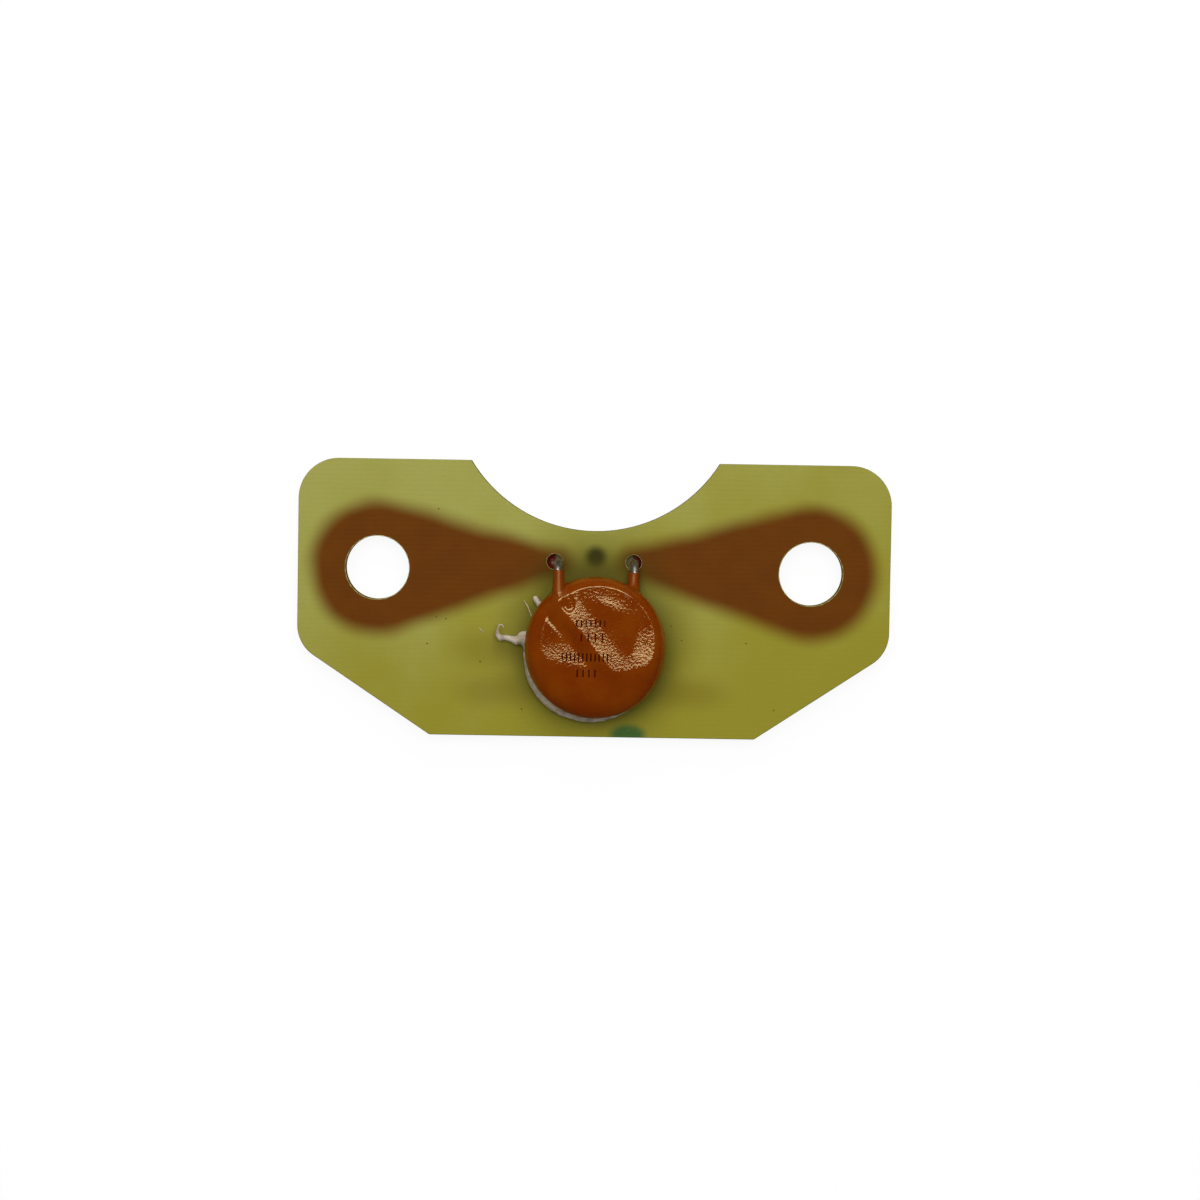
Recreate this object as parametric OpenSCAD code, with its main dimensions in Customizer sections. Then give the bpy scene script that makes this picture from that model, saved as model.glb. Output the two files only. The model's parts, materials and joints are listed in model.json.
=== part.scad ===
// Varistor board: a disc varistor lying flat on a small single-sided circuit board,
// which carries it between two screw terminals.
// Millimetres. The origin is midway between the mounting holes, in the plane of the copper
// foil's outer face. +X runs along the line of the holes, +Y towards the notch and
// +Z towards the varistor.

/* [Board] */
// Width of the board, across both mounting holes
board_w = 61.5; // [60:0.5:66]
// From the line of the mounting holes to the notched edge
notched_edge_y = 11.3; // [10.5:0.1:13]
// From the line of the mounting holes to the edge beside the varistor
plain_edge_y = 17.3; // [16.5:0.1:20]
// Thickness of the laminate
board_t = 1.6; // [1.2:0.1:2.4]
// Radius of the two corners beside the notch
notch_side_corner_r = 4.2; // [2:0.1:5]
// Radius of the two corners where a side meets its chamfer
chamfer_corner_r = 3.8; // [2:0.1:5]
// Radius of the two corners where a chamfer meets the plain edge
plain_edge_corner_r = 0.5; // [0.3:0.1:1.5]
// Length that each chamfer takes off the plain edge
chamfer_x = 13.85; // [12:0.05:15]
// Length that each chamfer takes off its side
chamfer_y = 9.2; // [8:0.1:10]
// Radius of the notch
notch_r = 15.15; // [13:0.05:16]
// Depth of the notch below the notched edge
notch_depth = 7.2; // [5:0.1:8]

/* [Mounting holes] */
// Distance between the mounting holes
hole_pitch = 45; // [44:0.5:46]
// Diameter of the mounting holes, which clear an M6 screw
hole_d = 6.6; // [6.4:0.1:7]

/* [Copper foil] */
// Thickness of the foil
foil_t = 0.07; // [0.07:0.035:0.21]
// Radius of the foil around a mounting hole
foil_r = 6.9; // [5.5:0.1:7.5]
// Radius of the foil around a lead hole
foil_tip_r = 1.45; // [1.4:0.05:2]

/* [Lead holes] */
// Distance between the lead holes
lead_hole_pitch = 8.2; // [8.1:0.05:8.3]
// Diameter of the lead holes
lead_hole_d = 1.65; // [1.65:0.05:1.9]
// From the line of the mounting holes to the lead holes
lead_hole_y = 0.9; // [0.8:0.1:1.5]

/* [Leads] */
// Diameter of the tinned wire
lead_d = 0.8; // [0.7:0.01:0.8]
// Distance between the two leads
lead_pitch = 7.9; // [7.8:0.05:8]
// Radius of the bend down into the board, at the wire's centre
bend_r = 0.8; // [0.6:0.05:0.8]
// Angle of the slanting run across the disc's face
lean = 39.7; // [38:0.1:41]
// How far the slanting run passes the disc's centre
lead_reach = 3.3; // [2.5:0.1:3.5]
// Length of the clipped tail below the foil
tail_length = 0.9; // [0.85:0.05:1.3]

/* [Varistor disc] */
// Diameter of the zinc oxide disc
ceramic_d = 13; // [12.5:0.1:13.2]
// Thickness of the zinc oxide disc
ceramic_t = 2.2; // [2:0.05:2.3]
// Diameter of the silver electrodes
electrode_d = 12; // [11.5:0.1:12.2]
// Thickness of each electrode
electrode_t = 0.03; // [0.02:0.01:0.05]
// Solder left between a lead and its electrode
solder_film_t = 0.05; // [0.03:0.01:0.06]
// Width of the solder fillet along a lead
inner_solder_w = 1.5; // [1.2:0.1:1.6]
// Disc centre, from the middle of the board
varistor_x = 0.25; // [0.2:0.05:0.3]
// Disc centre, from the line of the mounting holes
varistor_y = -7.8; // [-8:0.1:-7.6]
// Gap between the board and the lower lead ridge
stand_off = 0.4; // [0.3:0.05:0.6]

/* [Coating] */
// Diameter of the dipped coating
coat_d = 14.6; // [14.5:0.1:15]
// Thickness of the rounded rim
rim_t = 3.4; // [3.1:0.05:3.4]
// How far each face is dished below the rim
dish_depth = 0.1; // [0.08:0.01:0.18]
// Thickness of the coating over a lead
lead_cover = 0.22; // [0.15:0.01:0.3]
// Width of the ridge over a lead
ridge_w = 4.4; // [4:0.1:4.6]
// How far the ridge passes the lead's end
ridge_overrun = 0.6; // [0.5:0.1:0.8]
// Radius of a coated neck at its tip
neck_tip_r = 0.49; // [0.48:0.01:0.52]
// Radius of a coated neck where it meets the rim
neck_root_r = 0.83; // [0.75:0.01:0.9]
// Bare straight wire between the left neck and its bend
left_bare = 0.05; // [0.05:0.05:0.3]
// Bare straight wire between the right neck and its bend
right_bare = 0.3; // [0.05:0.05:0.5]

/* [Solder joints] */
// Radius of a solder joint on the foil
joint_r = 1.35; // [1.3:0.05:1.4]
// Height of a solder joint along the lead's tail
joint_h = 0.75; // [0.6:0.05:0.75]
// How far the solder rises into the lead hole, above the foil
joint_rise = 0.15; // [0.1:0.05:0.4]

/* [Adhesive] */
// Radius of the silicone under the disc
bed_r = 6.9; // [6.5:0.1:7]
// Thickness of the silicone under the disc
bed_t = 1.5; // [1.3:0.1:1.6]
// How far the bed's centre lies from the disc's centre
bed_shift = 1.15; // [1:0.05:1.3]
// Direction of that shift, from +X
bed_angle = 240; // [235:1:245]
// Radius of the string of silicone where it leaves the bed
string_r = 0.65; // [0.5:0.05:0.65]
// How far that string reaches, from the disc's centre
string_reach = 10.3; // [9.8:0.1:10.8]
// Height of that string's middle above the board
string_rise = 0.75; // [0.75:0.05:0.9]
// Radius of the tab of silicone behind the left neck
tab_r = 0.38; // [0.3:0.02:0.42]
// How far that tab reaches, from the disc's centre
tab_reach = 7.8; // [7.4:0.1:8.2]

/* [Hidden] */
$fn = 96;

// Each lead and its neighbours are named by the side that they lie on. The left lead runs on
// the disc's upper face and the right lead on its lower face.
LEFT = -1;
RIGHT = 1;

// How far a cutting tool passes the surface that it cuts
cut = 1;

board_top_z = foil_t + board_t;
board_side_x = board_w / 2;
plain_edge_x = board_side_x - chamfer_x;
chamfer_top_y = chamfer_y - plain_edge_y;
chamfer_angle = atan(chamfer_y / chamfer_x);
notch_y = notched_edge_y - notch_depth + notch_r;

// Heights above the disc's middle plane, the same on both faces
electrode_face = ceramic_t / 2 + electrode_t;
lead_height = electrode_face + solder_film_t + lead_d / 2;
ridge_top = lead_height + lead_d / 2 + lead_cover;
dish_height = rim_t / 2 - dish_depth;
// The ridge's outline starts this far under the dished face, so that it leaves it at a slope
ridge_root_depth = 0.12;
ridge_root = dish_height - ridge_root_depth;

varistor_mid_z = board_top_z + stand_off + ridge_top;

// The kink lies where the slanting run, which passes the disc's centre, meets the lead's line
kink_to_centre = lead_pitch / 2 / sin(lean);
kink_y = lead_pitch / 2 / tan(lean);
// The wire spreads by this much where it is nipped flat to form the kink
kink_spread = 0.02;
bend_start_y = lead_hole_y - bend_r;

rim_r = rim_t / 2;
rim_centre_r = coat_d / 2 - rim_r;
// The ridge falls to the rim over this rounded shoulder, which starts just above its crest
shoulder_r = 1.5;
shoulder_inset = 0.03;
shoulder_rise = 0.06;
neck_inside = 1.3;
neck_tip_round = 0.06;
// The solder inside starts this far from the kink and ends this far past the wire
inner_solder_start = 1;
inner_solder_overrun = 0.3;

// Knots of the string and the tab, from the bed outwards. Each has its direction from the
// disc's centre, its share of the reach and its share of the radius.
STRING_KNOTS = [[176, 0.64, 1], [176.5, 0.79, 0.66], [175.5, 0.96, 0.44], [169, 1, 0.28]];
TAB_KNOTS = [[148, 0.7, 1], [142, 1, 1]];
// The knots' balls have few faces, since a real string is uneven
strand_faces = 16;

dish_steps = 8;
ridge_steps = 12;
neck_steps = 8;

// Gives a lead's place along X
function lead_x(side) = varistor_x + side * lead_pitch / 2;

// Gives the height of a lead's straight run
function lead_z(side) = varistor_mid_z - side * lead_height;

// Gives the place along Y where a coated neck ends and bare wire starts
function neck_end_y(side) = bend_start_y - (side == LEFT ? left_bare : right_bare);

// Gives the ridge's height across its width, as a bell curve
function ridge_height(s) = ridge_root + (ridge_top - ridge_root) * (1 + cos(360 * s / ridge_w)) / 2;

// Gives the face's height at a distance from the disc's centre
function face_height(r) = dish_height + dish_depth * pow(r / rim_centre_r, 2);

// Gives a neck's radius at a fraction of its length from the tip to the rim
function neck_radius(t) = neck_tip_r + (neck_root_r - neck_tip_r) * pow(t, 2.2);

module at_varistor() {
    translate([varistor_x, varistor_y, varistor_mid_z]) children();
}

// Turns what is drawn for the left lead and the upper face over to the given side
module on_face(side) {
    rotate([0, side == LEFT ? 0 : 180, 0]) children();
}

// Moves what is drawn along +X to lie along a lead's slanting run, from the disc's centre
module along_run() {
    rotate([0, 0, lean - 90]) children();
}

// Board

module corner_disc(x, y, r) {
    translate([x, y]) circle(r);
}

module board_outline() {
    // Each rounded corner's circle touches both edges that meet there
    chamfer_corner_y = chamfer_top_y + chamfer_corner_r * tan((90 - chamfer_angle) / 2);
    plain_corner_x = plain_edge_x - plain_edge_corner_r * tan(chamfer_angle / 2);
    difference() {
        hull() {
            for (side = [LEFT, RIGHT]) {
                corner_disc(side * (board_side_x - notch_side_corner_r),
                    notched_edge_y - notch_side_corner_r, notch_side_corner_r);
                corner_disc(side * (board_side_x - chamfer_corner_r), chamfer_corner_y, chamfer_corner_r);
                corner_disc(side * plain_corner_x, plain_edge_corner_r - plain_edge_y, plain_edge_corner_r);
            }
        }
        translate([0, notch_y]) circle(notch_r);
    }
}

module mounting_hole(side) {
    translate([side * hole_pitch / 2, 0, -cut]) cylinder(d = hole_d, h = board_top_z + 2 * cut);
}

module lead_hole(side) {
    translate([side * lead_hole_pitch / 2, lead_hole_y, -cut])
        cylinder(d = lead_hole_d, h = board_top_z + 2 * cut);
}

module board() {
    color("darkkhaki") difference() {
        translate([0, 0, foil_t]) linear_extrude(board_t) board_outline();
        for (side = [LEFT, RIGHT]) {
            mounting_hole(side);
            lead_hole(side);
        }
    }
}

module foil(side) {
    color("peru") difference() {
        linear_extrude(foil_t) hull() {
            translate([side * hole_pitch / 2, 0]) circle(foil_r);
            translate([side * lead_hole_pitch / 2, lead_hole_y]) circle(foil_tip_r);
        }
        mounting_hole(side);
        lead_hole(side);
    }
}

// Leads and their solder

module wire(length) {
    cylinder(d = lead_d, h = length);
}

// The kink and the slanting run of the left lead, drawn from the disc's centre
module slanting_run() {
    nip_r = lead_d / 2 + kink_spread;
    translate([-lead_pitch / 2, kink_y, lead_height - nip_r]) cylinder(r = nip_r, h = 2 * nip_r);
    along_run() translate([-kink_to_centre, 0, lead_height])
        rotate([0, 90, 0]) wire(kink_to_centre + lead_reach);
}

module lead_wire(side) {
    translate([lead_x(side), lead_hole_y, -tail_length])
        wire(lead_z(side) - bend_r + tail_length);
    translate([lead_x(side), bend_start_y, lead_z(side) - bend_r])
        rotate([90, 0, 90]) rotate_extrude(angle = 90) translate([bend_r, 0]) circle(d = lead_d);
    translate([lead_x(side), bend_start_y, lead_z(side)])
        rotate([90, 0, 0]) wire(bend_start_y - varistor_y - kink_y);
    at_varistor() on_face(side) slanting_run();
}

module lead(side) {
    color("silver") lead_wire(side);
}

module solder_joint(side) {
    tail_collar_r = lead_d / 2 + 0.12;
    collar_h = 0.25;
    color("gray") difference() {
        union() {
            translate([lead_x(side), lead_hole_y, 0]) rotate_extrude() polygon([
                [0, 0],
                [joint_r, 0],
                [joint_r * 0.8, -joint_h * 0.22],
                [joint_r * 0.58, -joint_h * 0.5],
                [tail_collar_r, collar_h - joint_h],
                [tail_collar_r, -joint_h],
                [0, -joint_h]
            ]);
            translate([side * lead_hole_pitch / 2, lead_hole_y, 0])
                cylinder(d = lead_hole_d, h = foil_t + joint_rise);
        }
        lead_wire(side);
    }
}

// Varistor

module ceramic_shape() {
    translate([0, 0, -ceramic_t / 2]) cylinder(d = ceramic_d, h = ceramic_t);
}

module zinc_oxide_disc() {
    color("dimgray") at_varistor() ceramic_shape();
}

module electrode_shape(side) {
    on_face(side) translate([0, 0, ceramic_t / 2]) cylinder(d = electrode_d, h = electrode_t);
}

module electrode(side) {
    color("gainsboro") at_varistor() electrode_shape(side);
}

// A wedge of solder along both flanks of a lead's slanting run
module inner_solder_shape(side) {
    crown_w = lead_d * 0.95;
    start = kink_to_centre - inner_solder_start;
    on_face(side) along_run() translate([-start, 0, electrode_face])
        rotate([90, 0, 90]) linear_extrude(start + lead_reach + inner_solder_overrun) polygon([
            [-inner_solder_w / 2, 0],
            [inner_solder_w / 2, 0],
            [crown_w / 2, lead_d * 0.62],
            [-crown_w / 2, lead_d * 0.62]
        ]);
}

module electrode_solder(side) {
    color("gray") difference() {
        at_varistor() intersection() {
            inner_solder_shape(side);
            on_face(side) cylinder(d = electrode_d, h = ridge_top);
        }
        lead_wire(side);
    }
}

// Rounded rim with a slightly dished face on each side
module coated_disc() {
    dish = [for (i = [0:dish_steps]) rim_centre_r * i / dish_steps];
    rotate_extrude() {
        polygon([
            for (r = dish) [r, -face_height(r)],
            for (i = [dish_steps:-1:0]) [dish[i], face_height(dish[i])]
        ]);
        translate([rim_centre_r, 0]) circle(rim_r);
    }
}

// The bell-shaped ridge over a lead, trimmed by the rim's shoulder
module ridge() {
    run_start = coat_d / 2;
    run_end = lead_reach + ridge_overrun - ridge_w / 4;
    half_bell = [for (i = [0:ridge_steps]) ridge_w / 2 * i / ridge_steps];
    intersection() {
        union() {
            along_run() translate([-run_start, 0, 0]) rotate([90, 0, 90])
                linear_extrude(run_start + run_end) polygon([
                    [ridge_w / 2, 0],
                    for (i = [-ridge_steps:ridge_steps])
                        let (s = -ridge_w / 2 * i / ridge_steps) [s, ridge_height(s)],
                    [-ridge_w / 2, 0]
                ]);
            along_run() translate([run_end, 0, 0]) rotate([0, 0, -90])
                rotate_extrude(angle = 180) polygon([
                    [0, 0],
                    for (s = half_bell) [s, ridge_height(s)],
                    [ridge_w / 2, 0]
                ]);
        }
        rotate_extrude() {
            square([coat_d / 2 - shoulder_inset - shoulder_r, ridge_top + cut]);
            translate([coat_d / 2 - shoulder_inset - shoulder_r, ridge_top + shoulder_rise - shoulder_r])
                circle(shoulder_r);
        }
    }
}

// The trumpet of coating that runs out along a lead, from inside the rim to its tip
module neck(side) {
    tip_y = neck_end_y(side) - varistor_y;
    rim_y = sqrt(pow(coat_d / 2, 2) - pow(lead_pitch / 2, 2));
    neck_length = tip_y - rim_y;
    // The neck thickens towards the disc's middle plane only, and its top stays level
    slope = atan((lead_height + neck_root_r - ridge_top) / neck_length);
    on_face(side) translate([-lead_pitch / 2, tip_y, lead_height])
        rotate([90 + slope, 0, 0]) rotate_extrude() polygon([
            [0, 0],
            [neck_tip_r - neck_tip_round, 0],
            for (i = [0:neck_steps])
                [neck_radius(i / neck_steps), neck_tip_round + i / neck_steps * neck_length],
            [neck_root_r, neck_length + neck_inside],
            [0, neck_length + neck_inside]
        ]);
}

module coating_shape() {
    coated_disc();
    for (side = [LEFT, RIGHT]) {
        on_face(side) ridge();
        neck(side);
    }
}

module coating() {
    color("sienna") difference() {
        at_varistor() difference() {
            coating_shape();
            ceramic_shape();
            for (side = [LEFT, RIGHT]) {
                electrode_shape(side);
                intersection() {
                    inner_solder_shape(side);
                    on_face(side) cylinder(d = electrode_d, h = ridge_top);
                }
            }
        }
        for (side = [LEFT, RIGHT])
            lead_wire(side);
    }
}

// Adhesive

// A strand of silicone through knots at one height above the board
module strand(knots, reach, root_r, rise) {
    for (i = [1:len(knots) - 1]) hull() {
        for (knot = [knots[i - 1], knots[i]])
            translate([
                varistor_x + reach * knot[1] * cos(knot[0]),
                varistor_y + reach * knot[1] * sin(knot[0]),
                board_top_z + rise
            ]) sphere(root_r * knot[2], $fn = strand_faces);
    }
}

module adhesive() {
    bed_x = varistor_x + bed_shift * cos(bed_angle);
    bed_y = varistor_y + bed_shift * sin(bed_angle);
    color("rosybrown") difference() {
        union() {
            translate([bed_x, bed_y, board_top_z]) {
                cylinder(r = bed_r - bed_t / 2, h = bed_t);
                rotate_extrude() translate([bed_r - bed_t / 2, bed_t / 2]) circle(bed_t / 2);
            }
            strand(STRING_KNOTS, string_reach, string_r, string_rise);
            strand(TAB_KNOTS, tab_reach, tab_r, tab_r);
        }
        at_varistor() coating_shape();
    }
}

board();
foil(LEFT);  // foil_left
foil(RIGHT);  // foil_right
solder_joint(LEFT);  // solder_joint_left
solder_joint(RIGHT);  // solder_joint_right
lead(LEFT);  // lead_left
lead(RIGHT);  // lead_right
zinc_oxide_disc();
electrode(LEFT);  // electrode_upper
electrode(RIGHT);  // electrode_lower
electrode_solder(LEFT);  // electrode_solder_upper
electrode_solder(RIGHT);  // electrode_solder_lower
coating();
adhesive();
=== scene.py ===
"""Varistor board: an orange disc varistor bedded in silicone on a small notched circuit board."""

import json
import logging
import math
from dataclasses import dataclass, field
from enum import Enum
from typing import Callable, Sequence

import bmesh
import bpy
import numpy as np
from mathutils import Matrix, Vector

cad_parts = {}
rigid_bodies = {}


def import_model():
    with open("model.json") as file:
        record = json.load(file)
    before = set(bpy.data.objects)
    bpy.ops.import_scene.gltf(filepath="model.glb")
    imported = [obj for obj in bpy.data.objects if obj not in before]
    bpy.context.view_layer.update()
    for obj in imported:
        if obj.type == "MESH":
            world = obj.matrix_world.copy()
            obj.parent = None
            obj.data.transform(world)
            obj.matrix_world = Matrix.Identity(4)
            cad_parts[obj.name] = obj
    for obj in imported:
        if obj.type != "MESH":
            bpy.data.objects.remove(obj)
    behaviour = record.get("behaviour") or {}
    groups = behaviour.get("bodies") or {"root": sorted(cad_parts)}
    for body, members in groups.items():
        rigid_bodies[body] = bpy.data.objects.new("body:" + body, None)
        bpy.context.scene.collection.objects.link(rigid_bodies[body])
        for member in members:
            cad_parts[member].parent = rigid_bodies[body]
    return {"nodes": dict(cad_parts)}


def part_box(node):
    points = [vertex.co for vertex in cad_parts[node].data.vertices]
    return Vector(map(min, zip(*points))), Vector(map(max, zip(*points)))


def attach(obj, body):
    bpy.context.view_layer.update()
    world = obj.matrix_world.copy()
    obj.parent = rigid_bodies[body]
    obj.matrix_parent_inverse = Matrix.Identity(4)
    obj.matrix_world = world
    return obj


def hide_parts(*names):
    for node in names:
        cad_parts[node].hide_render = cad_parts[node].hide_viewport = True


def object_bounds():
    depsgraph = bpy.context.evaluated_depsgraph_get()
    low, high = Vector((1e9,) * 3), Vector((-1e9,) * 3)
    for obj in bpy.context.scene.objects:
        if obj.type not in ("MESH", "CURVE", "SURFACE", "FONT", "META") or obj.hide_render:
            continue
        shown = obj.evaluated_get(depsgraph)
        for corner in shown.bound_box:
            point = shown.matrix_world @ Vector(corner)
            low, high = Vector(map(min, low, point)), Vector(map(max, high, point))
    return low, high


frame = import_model()
CAD_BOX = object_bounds()

LOG = logging.getLogger("varistor_board")
MM = 0.001
BODY = "root"
Point = tuple[float, float, float]
Field = Callable[[np.ndarray, np.ndarray, np.ndarray], np.ndarray]
Value = bpy.types.Node | bpy.types.NodeSocket


class Side(Enum):
    """The side of the board that a lead and its neighbours lie on, looking along +Y."""

    LEFT = -1
    RIGHT = 1

    @property
    def word(self) -> str:
        """Gives the side's name as the nodes' names spell it."""
        return self.name.lower()


# ---------------------------------------------------------------------------------------
# Colours and node trees
# ---------------------------------------------------------------------------------------

# Makes a Map Range node run smoothly from 0 to 1 between its two limits
SOFT = {"interpolation_type": "SMOOTHSTEP"}
# Makes a Mix node mix colours
COLOURS = {"data_type": "RGBA"}


def linear(colour: str) -> tuple[float, float, float, float]:
    """Turns an sRGB hex colour into Blender's linear colour.

    Args:
        colour: Six hex digits after a hash sign.

    Returns:
        Linear red, green and blue, with an alpha of 1.
    """
    parts = [int(colour[i:i + 2], 16) / 255 for i in (1, 3, 5)]
    r, g, b = (p / 12.92 if p <= 0.04045 else ((p + 0.055) / 1.055) ** 2.4 for p in parts)
    return r, g, b, 1.0


class Tree:
    """A node tree, with one way to add to it."""

    def __init__(self, tree: bpy.types.NodeTree) -> None:
        """Takes a tree and empties it.

        Args:
            tree: The tree to fill.
        """
        tree.nodes.clear()
        self.tree = tree

    def add(self, kind: str, *values: object, **named: object) -> bpy.types.Node:
        """Adds one node with its settings and links.

        Args:
            kind: The node's type, with ShaderNode left out, and its operation after a dot.
            *values: What its inputs get, in order: a value, a hex colour, an output of
                another node, or the node itself for its first output.
            **named: What the inputs of these names get, with _ for a space. A name in
                small letters is one of the node's own settings.

        Returns:
            The new node.
        """
        kind, _, operation = kind.partition(".")
        node = self.tree.nodes.new(kind if "Node" in kind else "ShaderNode" + kind)
        if operation:
            node.operation = operation
        for key in filter(str.islower, named):
            setattr(node, key, named[key])
        used = [number for number, socket in enumerate(node.inputs) if socket.enabled]
        given = dict(zip(used, values))
        given |= {k.replace("_", " "): v for k, v in named.items() if not k.islower()}
        for key, value in given.items():
            if isinstance(value, bpy.types.Node):
                value = next(output for output in value.outputs if output.enabled)
            if isinstance(value, bpy.types.NodeSocket):
                self.tree.links.new(value, node.inputs[key])
            else:
                colour = isinstance(value, str) and value.startswith("#")
                node.inputs[key].default_value = linear(value) if colour else value
        return node


class Shader(Tree):
    """A material's node tree."""

    def __init__(self, name: str) -> None:
        """Makes an empty material.

        Args:
            name: The material's name.
        """
        self.material = bpy.data.materials.new(name)
        self.material.use_nodes = True
        super().__init__(self.material.node_tree)
        self.place = self.add("TexCoord").outputs["Object"]

    def mottle(self, size_mm: float, detail: float, seed: float = 0.0,
               place: Value | None = None) -> bpy.types.Node:
        """Makes a random mottle whose grain has a real size.

        Args:
            size_mm: The grain's size in millimetres.
            detail: How many finer layers are added.
            seed: Another number gives another mottle of the same kind.
            place: Where it is read, or None for the surface's own place.

        Returns:
            The mottle, from 0 to 1.
        """
        place = self.place if place is None else place
        shift = self.add("VectorMath", place, (seed * 0.1,) * 3)
        return self.add("TexNoise", shift, Scale=1 / (size_mm * MM), Detail=detail)

    def finish(self, **looks: object) -> bpy.types.Material:
        """Ends the material with a Principled shader.

        Args:
            **looks: What the shader's inputs get.

        Returns:
            The material.
        """
        self.add("OutputMaterial", self.add("BsdfPrincipled", **looks))
        return self.material


# ---------------------------------------------------------------------------------------
# Real sizes shared by the pieces, in millimetres
# ---------------------------------------------------------------------------------------


@dataclass(frozen=True)
class BoardSizes:
    """The circuit board's outline, holes and foil."""

    hole_pitch: float = 45.0
    hole_r: float = 3.3
    lead_hole_pitch: float = 8.2
    lead_hole_r: float = 0.825
    lead_hole_y: float = 0.9
    notch_side_corner_r: float = 4.2
    chamfer_corner_r: float = 3.8
    plain_edge_corner_r: float = 0.5
    chamfer_x: float = 13.85
    chamfer_y: float = 9.2
    notch_r: float = 15.15
    notch_depth: float = 7.2
    foil_r: float = 6.9
    foil_tip_r: float = 1.45

    @property
    def low(self) -> Vector:
        """Gives the board's lowest corner."""
        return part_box("board")[0] / MM

    @property
    def high(self) -> Vector:
        """Gives the board's highest corner."""
        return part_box("board")[1] / MM

    @property
    def top(self) -> float:
        """Gives the height of the board's upper face."""
        return self.high.z

    @property
    def notch_y(self) -> float:
        """Gives the place of the notch's centre along Y."""
        return self.high.y - self.notch_depth + self.notch_r

    def holes(self) -> list[tuple[str, Side, Vector, float]]:
        """Gives the kind, side, centre and radius of each hole.

        Returns:
            One row for each hole.
        """
        kinds = (("mounting_hole", self.hole_pitch, 0.0, self.hole_r),
                 ("lead_hole", self.lead_hole_pitch, self.lead_hole_y, self.lead_hole_r))
        return [(kind, side, Vector((side.value * pitch / 2, y)), radius)
                for side in Side for kind, pitch, y, radius in kinds]


@dataclass(frozen=True)
class VaristorSizes:
    """The varistor's disc, coating and leads."""

    x: float = 0.25
    y: float = -7.8
    coat_d: float = 14.6
    lead_d: float = 0.8
    lead_pitch: float = 7.9
    lead_height: float = 1.58
    lead_reach: float = 3.3
    lean: float = 39.7
    bend_r: float = 0.8
    left_bare: float = -0.2
    right_bare: float = 0.2
    neck_tip_r: float = 0.53
    neck_root_r: float = 0.75
    neck_shift: float = 0.08

    @property
    def mid_z(self) -> float:
        """Gives the height of the disc's middle plane."""
        low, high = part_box("zinc_oxide_disc")
        return (low.z + high.z) / 2 / MM

    @property
    def kink_y(self) -> float:
        """Gives the kink's place along Y, from the disc's centre."""
        return self.lead_pitch / 2 / math.tan(math.radians(self.lean))

    def lead_x(self, side: Side) -> float:
        """Gives a lead's place along X."""
        return self.x + side.value * self.lead_pitch / 2

    def lead_z(self, side: Side) -> float:
        """Gives the height of a lead's straight run."""
        return self.mid_z - side.value * self.lead_height


BOARD = BoardSizes()
VARISTOR = VaristorSizes()


# ---------------------------------------------------------------------------------------
# Finishes
# ---------------------------------------------------------------------------------------


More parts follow.
